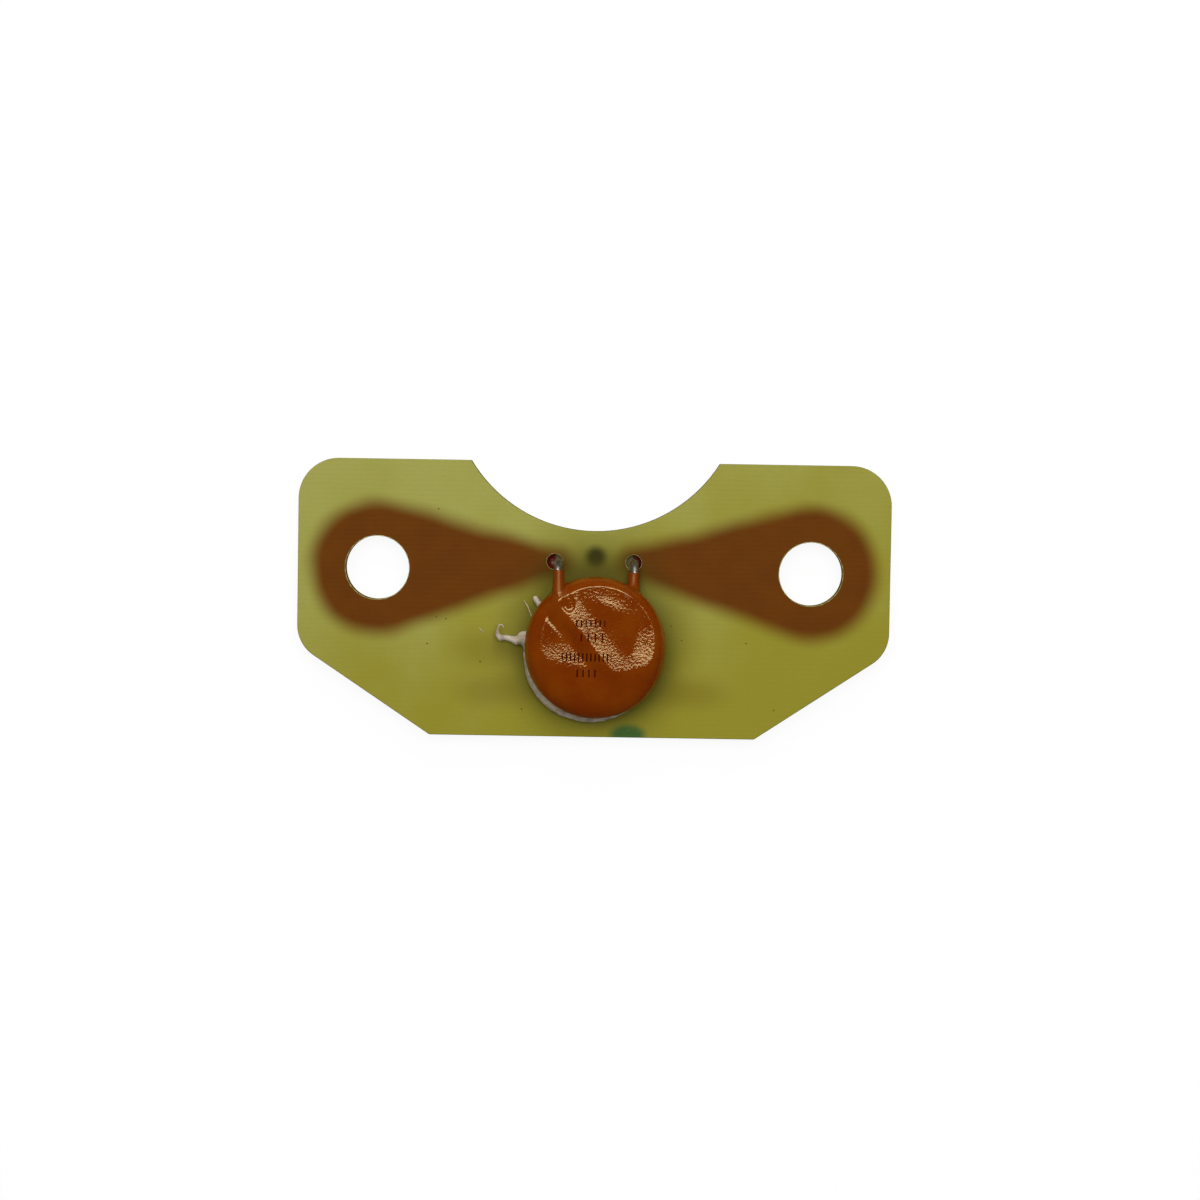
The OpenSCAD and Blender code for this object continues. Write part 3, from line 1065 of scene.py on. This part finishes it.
@dataclass
class CircuitBoard:
    """The laminate board with its cut edges, burrs, foil and specks of dirt."""

    edge_round: float = 0.09
    burr_r: float = 0.05
    arc_step: float = 3.0
    specks: tuple[tuple[float, float], ...] = (
        (-16.3, -5.0), (-15.3, -5.2), (-17.2, -7.8), (-11.7, -9.6), (-7.3, -14.5),
        (15.9, -7.3), (9.2, -7.1), (18.9, -14.2), (-16.2, 6.2), (8.1, -5.6))

    def arc(self, centre: Vector, radius: float, start: float, end: float) -> list[Vector]:
        """Gives points along an arc.

        Args:
            centre: The arc's centre.
            radius: Its radius.
            start: The angle where it starts, in degrees.
            end: The angle where it ends.

        Returns:
            The points, with both ends.
        """
        steps = max(2, round(abs(end - start) / self.arc_step))
        angles = [math.radians(start + (end - start) * i / steps) for i in range(steps + 1)]
        return [centre + radius * Vector((math.cos(a), math.sin(a))) for a in angles]

    def outline(self) -> list[Vector]:
        """Gives the board's outline, anticlockwise from the right end of the notch.

        Returns:
            The outline's points.
        """
        side, top, bottom = BOARD.high.x, BOARD.high.y, BOARD.low.y
        fall = math.degrees(math.atan(BOARD.chamfer_y / BOARD.chamfer_x))
        mouth = math.degrees(math.asin((top - BOARD.notch_y) / BOARD.notch_r))
        corner_y = (bottom + BOARD.chamfer_y
                    + BOARD.chamfer_corner_r * math.tan(math.radians(90 - fall) / 2))
        plain_x = (side - BOARD.chamfer_x
                   - BOARD.plain_edge_corner_r * math.tan(math.radians(fall) / 2))
        half = self.arc(Vector((plain_x, bottom + BOARD.plain_edge_corner_r)),
                        BOARD.plain_edge_corner_r, -90, fall - 90)
        half += self.arc(Vector((side - BOARD.chamfer_corner_r, corner_y)),
                         BOARD.chamfer_corner_r, fall - 90, 0)
        half += self.arc(Vector((side - BOARD.notch_side_corner_r,
                                 top - BOARD.notch_side_corner_r)),
                         BOARD.notch_side_corner_r, 0, 90)
        half += self.arc(Vector((0, BOARD.notch_y)), BOARD.notch_r, mouth, -90)
        return half + [Vector((-p.x, p.y)) for p in reversed(half[:-1])]

    @staticmethod
    def inset(loop: list[Vector], amount: float) -> list[Vector]:
        """Moves a closed anticlockwise loop inwards.

        Args:
            loop: The loop's points.
            amount: How far it moves, negative for outwards.

        Returns:
            The moved points.
        """
        moved = []
        for before, here, after in zip(loop[-1:] + loop[:-1], loop, loop[1:] + loop[:1]):
            first, second = (here - before).normalized(), (after - here).normalized()
            normal = Vector((-first.y - second.y, first.x + second.x)).normalized()
            lean = max(0.4, normal.dot(Vector((-first.y, first.x))))
            moved.append(here + normal * (amount / lean))
        return moved

    def loops(self) -> list[tuple[list[Vector], int]]:
        """Gives the outline and each hole's loop, with 1 for the outline and -1 for a hole."""
        rings = [self.arc(centre, radius, 0, 360) for _, _, centre, radius in BOARD.holes()]
        return [(self.outline(), 1)] + [(ring[:-1], -1) for ring in rings]

    def laminate(self, material: bpy.types.Material) -> bpy.types.Object:
        """Builds the board with slightly broken edges.

        Args:
            material: The board's material.

        Returns:
            The piece.
        """
        low, high, cut = BOARD.low.z, BOARD.high.z, self.edge_round
        # Layers from the lower face up: height, and how far the edge is drawn in there
        layers = [(low, cut), (low + cut * 0.3, cut * 0.3), (low + cut, 0.0),
                  (high - cut, 0.0), (high - cut * 0.3, cut * 0.3), (high, cut)]
        shape = bmesh.new()
        ends: dict[int, list] = {0: [], len(layers) - 1: []}
        for loop, sign in self.loops():
            rings = []
            for height, drawn in layers:
                ring = self.inset(loop, drawn * sign)
                rings.append([shape.verts.new((p.x, p.y, height)) for p in ring])
            for lower, upper in zip(rings, rings[1:]):
                for i in range(len(loop)):
                    j = (i + 1) % len(loop)
                    shape.faces.new((lower[i], lower[j], upper[j], upper[i]))
            for layer, edges in ends.items():
                ring = rings[layer]
                edges += [shape.edges.get((ring[i], ring[(i + 1) % len(ring)]))
                          for i in range(len(ring))]
        for edges in ends.values():
            bmesh.ops.triangle_fill(shape, edges=edges, use_beauty=True)
        bmesh.ops.recalc_face_normals(shape, faces=shape.faces)
        points = np.array([v.co[:] for v in shape.verts])
        shape.verts.index_update()
        faces = [[v.index for v in f.verts] for f in shape.faces]
        shape.free()
        return to_object("board_laminate", points, faces, material, smooth=False)

    def burrs(self, tubes: Tubes, material: bpy.types.Material) -> None:
        """Adds the pale frayed lip round each hole.

        Args:
            tubes: The tube maker.
            material: The lip's material.
        """
        for kind, side, centre, radius in BOARD.holes():
            thick = self.burr_r if kind == "mounting_hole" else self.burr_r / 2
            ring = self.arc(centre, radius + thick * 0.8, 0, 360)
            path = [((p.x, p.y, BOARD.top - thick * 0.45),
                     thick * (0.8 + 0.35 * math.sin(5 * i + side.value)))
                    for i, p in enumerate(ring)]
            piece = tubes.sweep(f"{kind}_burr_{side.word}", [path], material, 10,
                                thick * 0.35, 0.4, 3.0 + side.value)
            place_piece(piece, "laminate")

    def build(self, tubes: Tubes, grit: Grit) -> None:
        """Builds the board and everything that is part of it.

        Args:
            tubes: The tube maker.
            grit: The crumb maker.
        """
        place_piece(self.laminate(BareLaminate().build()), "laminate", "board")
        foil = DullFoil().build()
        for side in Side:
            dress_node(f"foil_{side.word}", foil)
        self.burrs(tubes, PlainMatter("frayed_glass_fibre", "#b9ab62", "#8f8440", 0.2).build())
        dust = PlainMatter("dark_dust", "#3b2d12", "#241a0a", 0.1, 0.8).build()
        spots = [(x, y, BOARD.top) for x, y in self.specks]
        place_piece(grit.scatter("specks_of_dirt", spots, 0.085, dust, 7), "laminate")


def dress_node(name: str, material: bpy.types.Material) -> None:
    """Gives a CAD node another material.

    Args:
        name: The node's name.
        material: Its new material.
    """
    node = frame["nodes"][name]
    for slot in node.material_slots:
        slot.material = material
    LOG.info("%s: CAD node, %s", name, material.name)


@dataclass
class LeadsAndJoints:
    """The two tinned leads, their solder joints and the rosin left in the lead holes."""

    tail_steps: int = 8
    bend_steps: int = 10
    clipped_end: float = 0.05
    clipped_share: float = 0.86
    joint_r: float = 1.32
    joint_flare: float = 2.1
    joint_steps: int = 12
    plug_r: float = 0.78
    plug_sink: float = 0.03
    rosin_depth: float = 0.55
    rosin_floor: float = 0.12

    def path(self, side: Side) -> list[tuple[Point, float]]:
        """Gives a lead's path from its clipped tail to its inner end, with its radius.

        Args:
            side: The lead's side.

        Returns:
            The path's points with the radius at each.
        """
        x, y, z = VARISTOR.lead_x(side), BOARD.lead_hole_y, VARISTOR.lead_z(side)
        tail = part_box(f"lead_{side.word}")[0].z / MM + 0.01
        bend = VARISTOR.bend_r
        points: list[Point] = [(x, y, tail), (x, y, tail + self.clipped_end)]
        points += [(x, y, tail + (z - bend - tail) * i / self.tail_steps)
                   for i in range(1, self.tail_steps)]
        for i in range(self.bend_steps + 1):
            angle = math.pi / 2 * i / self.bend_steps
            points.append((x, y - bend + bend * math.cos(angle),
                           z - bend + bend * math.sin(angle)))
        points.append((x, VARISTOR.y + VARISTOR.kink_y, z))
        lean, reach = math.radians(VARISTOR.lean), VARISTOR.lead_reach
        points.append((VARISTOR.x - side.value * reach * math.sin(lean),
                       VARISTOR.y - reach * math.cos(lean), z))
        r = VARISTOR.lead_d / 2
        return [(points[0], r * self.clipped_share)] + [(p, r) for p in points[1:]]

    def joint(self, side: Side, material: bpy.types.Material) -> bpy.types.Object:
        """Builds the wetted cone of solder round a tail, and its plug in the hole.

        Args:
            side: The lead's side.
            material: The solder.

        Returns:
            The piece.
        """
        name = f"solder_joint_{side.word}"
        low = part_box(name)[0].z / MM
        x = VARISTOR.lead_x(side)
        # The solder wets the tail, runs down it hollow to the foil, and plugs the hole
        collar = VARISTOR.lead_d / 2 + 0.02
        profile = [(0.0, low + 0.12), (collar * 0.6, low + 0.08)]
        for i in range(self.joint_steps + 1):
            share = i / self.joint_steps
            flare = (self.joint_r - collar) * share ** self.joint_flare
            profile.append((collar + flare, low * (1 - share)))
        profile += [(self.joint_r * 0.98, 0.01), (self.plug_r, self.plug_sink),
                    (0.0, self.plug_sink)]
        return lathe(name + "_fillet", profile, (x, BOARD.lead_hole_y, 0.0), material)

    def rosin(self, side: Side, material: bpy.types.Material) -> bpy.types.Object:
        """Builds the pool of rosin that fills a lead hole part way.

        Args:
            side: The hole's side.
            material: The rosin.

        Returns:
            The piece.
        """
        pool, r = BOARD.top - self.rosin_depth, BOARD.lead_hole_r - 0.004
        # A hollow face that climbs the hole's wall, then the wall and the floor
        profile = [(0.0, pool - 0.16), (0.35, pool - 0.15), (0.6, pool - 0.08),
                   (r - 0.05, pool + 0.02), (r, pool + 0.08), (r, self.rosin_floor),
                   (0.0, self.rosin_floor)]
        centre = (side.value * BOARD.lead_hole_pitch / 2, BOARD.lead_hole_y, 0.0)
        return lathe(f"rosin_{side.word}", profile, centre, material, 40)

    def build(self, tubes: Tubes) -> None:
        """Builds both leads with their joints.

        Args:
            tubes: The tube maker.
        """
        tin = TinSolder("tinned_copper_wire", "#d8d2c6", "#a29a8a", 0.4).build()
        solder = TinSolder().build()
        rosin = Rosin().build()
        for side in Side:
            name = f"lead_{side.word}"
            wire = tubes.sweep(name + "_wire", [self.path(side)], tin, 28, 0.006, 0.4, 2.0)
            place_piece(wire, "tinned_wire", name)
            place_piece(self.joint(side, solder), "solder", f"solder_joint_{side.word}")
            place_piece(self.rosin(side, rosin), "solder")


@dataclass
class DiscVaristor:
    """The coated disc. The coating is one dipped skin over the disc and the leads.

    It was dipped with the leads up, so the far end is thick and gently rounded, and each
    face has a flat part with a sharper edge towards the leads. Heights are from the disc's
    middle plane and places from its centre.
    """

    cell: float = 0.08
    # The thin skin to the left of the lead's slanting run, and the flank beside the run
    left_height: float = 1.72
    flank_w: float = 1.75
    groove_w: float = 0.3
    groove_depth: float = 0.03
    # The skin over the lead and down to the right rim, with a hump and a dimple
    right_height: float = 2.02
    right_slope: float = 0.045
    hump_x: float = 1.5
    hump_height: float = 0.038
    dimple_x: float = -2.85
    dimple_y: float = 4.7
    dimple_w: float = 0.7
    dimple_l: float = 1.05
    dimple_depth: float = 0.06
    # The flat part, and the line past which it falls to the rounded end
    flat_x: float = 0.35
    flat_y: float = 0.7
    flat_r: float = 5.7
    end_x: float = 2.0
    end_y: float = -2.34
    end_slope: float = 0.17
    # The lower face and the ridge over the lower lead, from its kink to its inner end
    lower_height: float = 1.6
    lower_round: float = 1.6
    ridge_root_r: float = 0.6
    ridge_tip_r: float = 0.5
    ridge_root_sink: float = 0.05
    ridge_tip_sink: float = 0.1
    ridge_blend: float = 1.1
    # How far a neck's root lies past its lead's kink, beside it and below the lead
    neck_past: float = 0.35
    neck_aside: float = 0.06
    neck_drop: float = 0.28
    neck_blend: float = 0.55

    @staticmethod
    def ease(value: np.ndarray, start: float, end: float) -> np.ndarray:
        """Runs smoothly from 0 to 1 as the value goes from start to end."""
        share = np.clip((value - start) / (end - start), 0, 1)
        return share * share * (3 - 2 * share)

    @staticmethod
    def bend(offset: np.ndarray, low: np.ndarray | float, high: float, soft: float) -> np.ndarray:
        """Rises away from a line at one slope before it and at another past it.

        Args:
            offset: How far past the line each place lies.
            low: The slope before the line.
            high: The slope past it.
            soft: How far the bend at the line is rounded.

        Returns:
            The height that each place gains.
        """
        before = np.hypot(np.minimum(offset, 0), soft) - soft
        past = np.hypot(np.maximum(offset, 0), soft) - soft
        return low * before + high * past

    @staticmethod
    def across(x: np.ndarray, y: np.ndarray) -> np.ndarray:
        """Gives how far right of the upper lead's slanting run each place lies."""
        lean = math.radians(VARISTOR.lean)
        return x * math.cos(lean) + y * math.sin(lean)

    def end_line(self, x: np.ndarray, y: np.ndarray) -> np.ndarray:
        """Gives how far each place lies from the end of the flat part, negative past it."""
        return y - self.end_y - self.end_slope * np.abs(x - self.end_x)

    def left_face(self, x: np.ndarray, y: np.ndarray) -> np.ndarray:
        """Gives the thin skin's height, to the left of the lead's slanting run.

        Args:
            x: The places' X coordinates.
            y: Their Y coordinates.

        Returns:
            The height at each place.
        """
        foot = (self.across(x, y) + self.flank_w) / self.groove_w
        groove = self.groove_depth * np.exp(-foot * foot) * self.ease(y, 0.8, 2.6)
        # It is lowest at y = 0.4, level past the end line, and rises gently both ways
        y = y - np.minimum(self.end_line(x, y), 0)
        return self.left_height + self.bend(y - 0.4, 0.022, 0.03, 0.8) - groove

    def right_face(self, x: np.ndarray, y: np.ndarray) -> np.ndarray:
        """Gives the height over the lead, from where the skin runs down to the right rim.

        Args:
            x: The places' X coordinates.
            y: Their Y coordinates.

        Returns:
            The height at each place.
        """
        y = y - np.minimum(self.end_line(x, y), 0)
        # The skin is lowest along a line that runs down to the right and up by the rim
        line = 2.7 * self.ease(x, 3.4, 4.7) - smooth_min(1.2 * x - 2.9, 0.7, 0.8)
        height = self.right_height - 0.012 * x
        height -= self.right_slope * (np.hypot(np.maximum(x - 1.2, 0), 0.5) - 0.5)
        height += self.bend(y - line, 0.014 + 0.008 * self.ease(-y, -1, 1.5), 0.022, 0.5)
        hump = ((y + 0.35 * x - 4.65) / 0.85) ** 2 + ((x - self.hump_x) / 1.8) ** 2
        height += self.hump_height * np.exp(-hump)
        # The dimple is an oval that leans to the left, and is shallower towards the neck
        dimple_x, dimple_y = x - self.dimple_x, y - self.dimple_y
        along = dimple_y * 0.943 - dimple_x * 0.333
        width = (dimple_x * 0.943 + dimple_y * 0.333) / self.dimple_w
        dimple = np.hypot(width, along / self.dimple_l)
        return height - (self.dimple_depth - 0.03 * along) * (1 - self.ease(dimple, 0.7, 1.1))

    def face(self, x: np.ndarray, y: np.ndarray) -> np.ndarray:
        """Gives the upper face's height, with a flank beside the lead's slanting run.

        Args:
            x: The places' X coordinates.
            y: Their Y coordinates.

        Returns:
            The height at each place.
        """
        share = self.ease(self.across(x, y), -self.flank_w, 0)
        share = share * (1 - self.ease(-y, 2.2, 5.5))
        left = self.left_face(x, y)
        return left + (self.right_face(x, y) - left) * share

    def disc_distance(self, x: np.ndarray, y: np.ndarray, z: np.ndarray) -> np.ndarray:
        """Gives the distance to the coated disc, without the necks.

        Args:
            x: The places' X coordinates.
            y: Their Y coordinates.
            z: Their Z coordinates.

        Returns:
            The distance, which is exact only near the skin.
        """
        room = VARISTOR.coat_d / 2 - np.hypot(x, y)
        flat = np.hypot(x - self.flat_x, y - self.flat_y) - self.flat_r
        beyond = np.maximum(-smooth_min(-flat, self.end_line(x, y), 1.0), 0)
        width = beyond + room
        # A section from the flat part to the rim is a quarter of a superellipse
        upper = z > 0
        share = np.where(upper, beyond / np.maximum(width, 0.2),
                         np.maximum(1 - room / self.lower_round, 0))
        power = np.where(upper, 1.8 + 0.9 * self.ease(width, 1.3, 3.8), 2.0)
        height = np.where(upper, self.face(x, y), self.lower_height)
        return height * ((share ** power + (np.abs(z) / height) ** power) ** (1 / power) - 1)

    def neck_distance(self, x: np.ndarray, y: np.ndarray, z: np.ndarray,
                      bare: float) -> np.ndarray:
        """Gives the distance to the left lead's neck.

        Args:
            x: The places' X coordinates.
            y: Their Y coordinates.
            z: Their Z coordinates.
            bare: Length of bare straight wire before the bend. It is negative where the
                coat runs on into the bend.

        Returns:
            The distance. The right lead's is the same, turned over about Y.
        """
        neck_x = VARISTOR.neck_shift - VARISTOR.lead_pitch / 2
        root = (neck_x + self.neck_aside, VARISTOR.kink_y + self.neck_past,
                VARISTOR.lead_height - self.neck_drop)
        tip_y = BOARD.lead_hole_y - VARISTOR.bend_r - bare - VARISTOR.y
        neck = rod_distance(x, y, z, root, (neck_x, tip_y, VARISTOR.lead_height),
                            VARISTOR.neck_root_r, VARISTOR.neck_tip_r)
        return np.maximum(neck, y - tip_y)

    def distance(self, x: np.ndarray, y: np.ndarray, z: np.ndarray) -> np.ndarray:
        """Gives the distance to the whole coating, in the board's frame.

        Args:
            x: The places' X coordinates.
            y: Their Y coordinates.
            z: Their Z coordinates.

        Returns:
            The distance, negative inside the coating.
        """
        x, y, z = x - VARISTOR.x, y - VARISTOR.y, z - VARISTOR.mid_z
        body = self.disc_distance(x, y, z)
        lean, reach = math.radians(VARISTOR.lean), VARISTOR.lead_reach
        low = -VARISTOR.lead_height
        root = (VARISTOR.lead_pitch / 2, VARISTOR.kink_y, low + self.ridge_root_sink)
        tip = (-reach * math.sin(lean), -reach * math.cos(lean), low + self.ridge_tip_sink)
        ridge = rod_distance(x, y, z, root, tip, self.ridge_root_r, self.ridge_tip_r)
        body = smooth_min(body, ridge, self.ridge_blend)
        left = self.neck_distance(x, y, z, VARISTOR.left_bare)
        body = smooth_min(body, left, self.neck_blend)
        right = self.neck_distance(-x, y, -z, VARISTOR.right_bare)
        return smooth_min(body, right, self.neck_blend)

    def build(self) -> None:
        """Builds the coating and dresses the sealed pieces inside it."""
        low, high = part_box("coating")
        points, quads = surface_net(self.distance, low / MM, high / MM, self.cell)
        piece = to_object("dipped_coating", points, quads, DippedEpoxy().build())
        place_piece(piece, "epoxy", "coating")
        silver = TinSolder("fired_silver", "#d8d4c8", "#a9a498", 0.4).build()
        oxide = PlainMatter("fired_zinc_oxide", "#3f3f3d", "#262625", 0.15).build()
        inner = TinSolder("reflowed_solder", "#bdbbb4", "#8a8880", 0.3).build()
        dress_node("zinc_oxide_disc", oxide)
        for level in ("upper", "lower"):
            dress_node(f"electrode_{level}", silver)
            dress_node(f"electrode_solder_{level}", inner)


@dataclass
class SiliconeBed:
    """The adhesive under the disc, with its squeezed-out ledge, string, tab and threads.

    Heights are from the board's upper face. A knot of the string is its X, Y and radius,
    and one of a thread is its X, Y, height and radius.
    """

    cell: float = 0.1
    radius: float = 6.9
    thickness: float = 1.5
    shift: float = 1.15
    angle: float = 240.0
    string: tuple[tuple[float, float, float], ...] = (
        (-6.4, -7.3, 0.75), (-7.2, -7.05, 0.7), (-7.95, -7.3, 0.42), (-9.05, -7.02, 0.26),
        (-9.6, -7.05, 0.3), (-9.9, -6.7, 0.26), (-9.88, -6.3, 0.12))
    # Each length of the string rises from one of these heights to the other
    string_z: tuple[float, float] = (0.75, 0.8)
    tab: tuple[Point, Point] = ((-4.6, -5.0, 0.36), (-6.05, -2.95, 0.36))
    tab_r: tuple[float, float] = (0.42, 0.28)
    threads: tuple[tuple[tuple[float, float, float, float], ...], ...] = (
        ((-7.2, -3.15, 0.5, 0.03), (-6.85, -3.7, 0.7, 0.05), (-6.5, -4.5, 0.8, 0.05),
         (-6.3, -5.2, 0.9, 0.04)),
        ((-11.85, -6.05, 0.03, 0.03), (-11.6, -6.4, 0.04, 0.05), (-11.3, -6.6, 0.03, 0.03)),
        ((-9.85, -6.5, 0.8, 0.12), (-9.87, -6.0, 0.85, 0.11), (-9.72, -5.72, 0.9, 0.09),
         (-9.45, -5.68, 0.9, 0.07), (-9.3, -5.95, 0.85, 0.06)))
    disc: DiscVaristor = field(default_factory=DiscVaristor)

    def distance(self, x: np.ndarray, y: np.ndarray, z: np.ndarray) -> np.ndarray:
        """Gives the distance to the adhesive, in the board's frame.

        Args:
            x: The places' X coordinates.
            y: Their Y coordinates.
            z: Their Z coordinates.

        Returns:
            The distance, negative inside the adhesive.
        """
        top = BOARD.top
        angle = math.radians(self.angle)
        cx = VARISTOR.x + self.shift * math.cos(angle)
        cy = VARISTOR.y + self.shift * math.sin(angle)
        around = np.arctan2(y - cy, x - cx)
        edge = 0.04 * np.sin(5 * around + 1.0) + 0.02 * np.sin(11 * around)
        half = self.thickness / 2
        r = np.hypot(x - cx, y - cy) - (self.radius - half + edge)
        lift = z - (top + half)
        bed = np.where(r < 0, np.abs(lift) - half, np.hypot(np.maximum(r, 0), lift) - half)
        string = 1e3 * np.ones_like(x)
        for (*first, first_r), (*second, second_r) in zip(self.string, self.string[1:]):
            start, end = ((*knot, top + rise)
                          for knot, rise in zip((first, second), self.string_z))
            string = smooth_min(string, rod_distance(x, y, z, start, end, first_r, second_r), 0.12)
        start, end = ((*knot[:2], top + knot[2]) for knot in self.tab)
        tab = rod_distance(x, y, z, start, end, *self.tab_r)
        shape = smooth_min(smooth_min(bed, string, 0.45), tab, 0.3)
        wander = 0.012 * np.sin(4.1 * x + 2.3 * z) * np.sin(3.3 * y - 1.7 * z)
        shape = np.maximum(shape + wander, top - z)
        return np.maximum(shape, -self.disc.distance(x, y, z))

    def build(self, tubes: Tubes) -> None:
        """Builds the bed and the loose threads that were drawn from it.

        Args:
            tubes: The tube maker.
        """
        silicone = CuredSilicone().build()
        low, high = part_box("adhesive")
        points, quads = surface_net(self.distance, low / MM, high / MM, self.cell)
        place_piece(to_object("silicone_bed", points, quads, silicone), "silicone", "adhesive")
        paths = [[((x, y, BOARD.top + z), r) for x, y, z, r in thread] for thread in self.threads]
        threads = tubes.sweep("silicone_threads", paths, silicone, 8, 0.01, 0.2, 5.0)
        place_piece(threads, "silicone")


# ---------------------------------------------------------------------------------------
# Studio
# ---------------------------------------------------------------------------------------


@dataclass
class Studio:
    """Floor, lamps, world and camera. Nothing here is part of the object."""

    floor_size: float = 3000.0
    camera_range: float = 300.0
    aim: Point = (0.66, -3.01, 1.67)
    roll: float = 0.928
    tilt: float = 2.8
    view_width: float = 124.56
    sensor: float = 36.0

    def floor(self) -> None:
        """Lays a plain white floor just under the lowest solder tail."""
        z = CAD_BOX[0].z / MM
        half = self.floor_size / 2
        corners = [(x * half, y * half, z) for x, y in ((-1, -1), (1, -1), (1, 1), (-1, 1))]
        shader = Shader("white_floor")
        matt = shader.add("BsdfPrincipled", "#e9e9e9", Roughness=0.9)
        glow = shader.add("Emission", "#ffffff", 1.06)
        seen = shader.add("LightPath").outputs["Is Camera Ray"]
        seen = shader.add("Math.MULTIPLY", seen, 0.86)
        shader.add("OutputMaterial", shader.add("MixShader", seen, matt, glow))
        floor = to_object("floor", corners, [(0, 1, 2, 3)], shader.material, smooth=False)
        floor.visible_glossy = False

    def world(self) -> None:
        """Makes the surroundings white to the eye and dim as a light."""
        world = bpy.data.worlds.new("studio")
        bpy.context.scene.world = world
        world.use_nodes = True
        tree = Tree(world.node_tree)
        rays = tree.add("LightPath").outputs
        shade = tree.add("Background", "#ffffff", 0.08)
        for ray, strength in (("Is Glossy Ray", 0.05), ("Is Camera Ray", 1.0)):
            other = tree.add("Background", "#ffffff", strength)
            shade = tree.add("MixShader", rays[ray], shade, other)
        tree.add("OutputWorld", shade)

    def lamp(self, name: str, place: Point, size: tuple[float, float], power: float,
             tip: float = 0.0, mirrored: bool = True, lights: bool = True) -> None:
        """Hangs a softbox that faces down.

        Args:
            name: The lamp's name.
            place: Its centre, in millimetres.
            size: Its width and height.
            power: Its power in watts.
            tip: How far it is turned about X, in degrees.
            mirrored: Whether it shows in glossy surfaces.
            lights: Whether it lights matt surfaces.
        """
        data = bpy.data.lights.new(name, "AREA")
        data.shape = "RECTANGLE"
        data.size, data.size_y = size[0] * MM, size[1] * MM
        data.energy = power
        lamp = bpy.data.objects.new(name, data)
        bpy.context.scene.collection.objects.link(lamp)
        lamp.location = Vector(place) * MM
        lamp.rotation_euler.x = math.radians(tip)
        lamp.visible_glossy = mirrored
        lamp.visible_diffuse = lights

    def camera(self) -> None:
        """Sets the camera almost straight above the board."""
        data = bpy.data.cameras.new("camera")
        data.sensor_width = self.sensor
        data.lens = self.sensor * self.camera_range / self.view_width
        data.clip_start, data.clip_end = 0.01, 10.0
        camera = bpy.data.objects.new("camera", data)
        bpy.context.scene.collection.objects.link(camera)
        roll, tilt = math.radians(self.roll), math.radians(self.tilt)
        back = Vector((0, math.sin(tilt), math.cos(tilt)))
        right = Vector((math.cos(roll), math.sin(roll), 0))
        right = (right - back * right.dot(back)).normalized()
        up = back.cross(right)
        turn = Matrix((right, up, back)).transposed().to_4x4()
        camera.matrix_world = Matrix.Translation(
            (Vector(self.aim) + back * self.camera_range) * MM) @ turn
        bpy.context.scene.camera = camera

    def build(self) -> None:
        """Builds the studio."""
        self.floor()
        self.world()
        self.lamp("overhead_softbox", (0, 134, 500), (578, 310), 2.15, mirrored=False)
        self.lamp("overhead_sheen", (0, 59, 498), (300, 148), 1.0, lights=False)
        self.lamp("fill", (0, 400, 260), (400, 200), 0.9, tip=-57, mirrored=False)
        self.camera()
        bpy.context.scene.view_settings.view_transform = "Standard"


def main() -> None:
    """Builds the board, the varistor, the adhesive and the studio."""
    logging.basicConfig(level=logging.INFO, format="%(message)s")
    tubes, grit = Tubes(), Grit()
    CircuitBoard().build(tubes, grit)
    LeadsAndJoints().build(tubes)
    DiscVaristor().build()
    SiliconeBed().build(tubes)
    Studio().build()


if __name__ == "__main__":
    main()
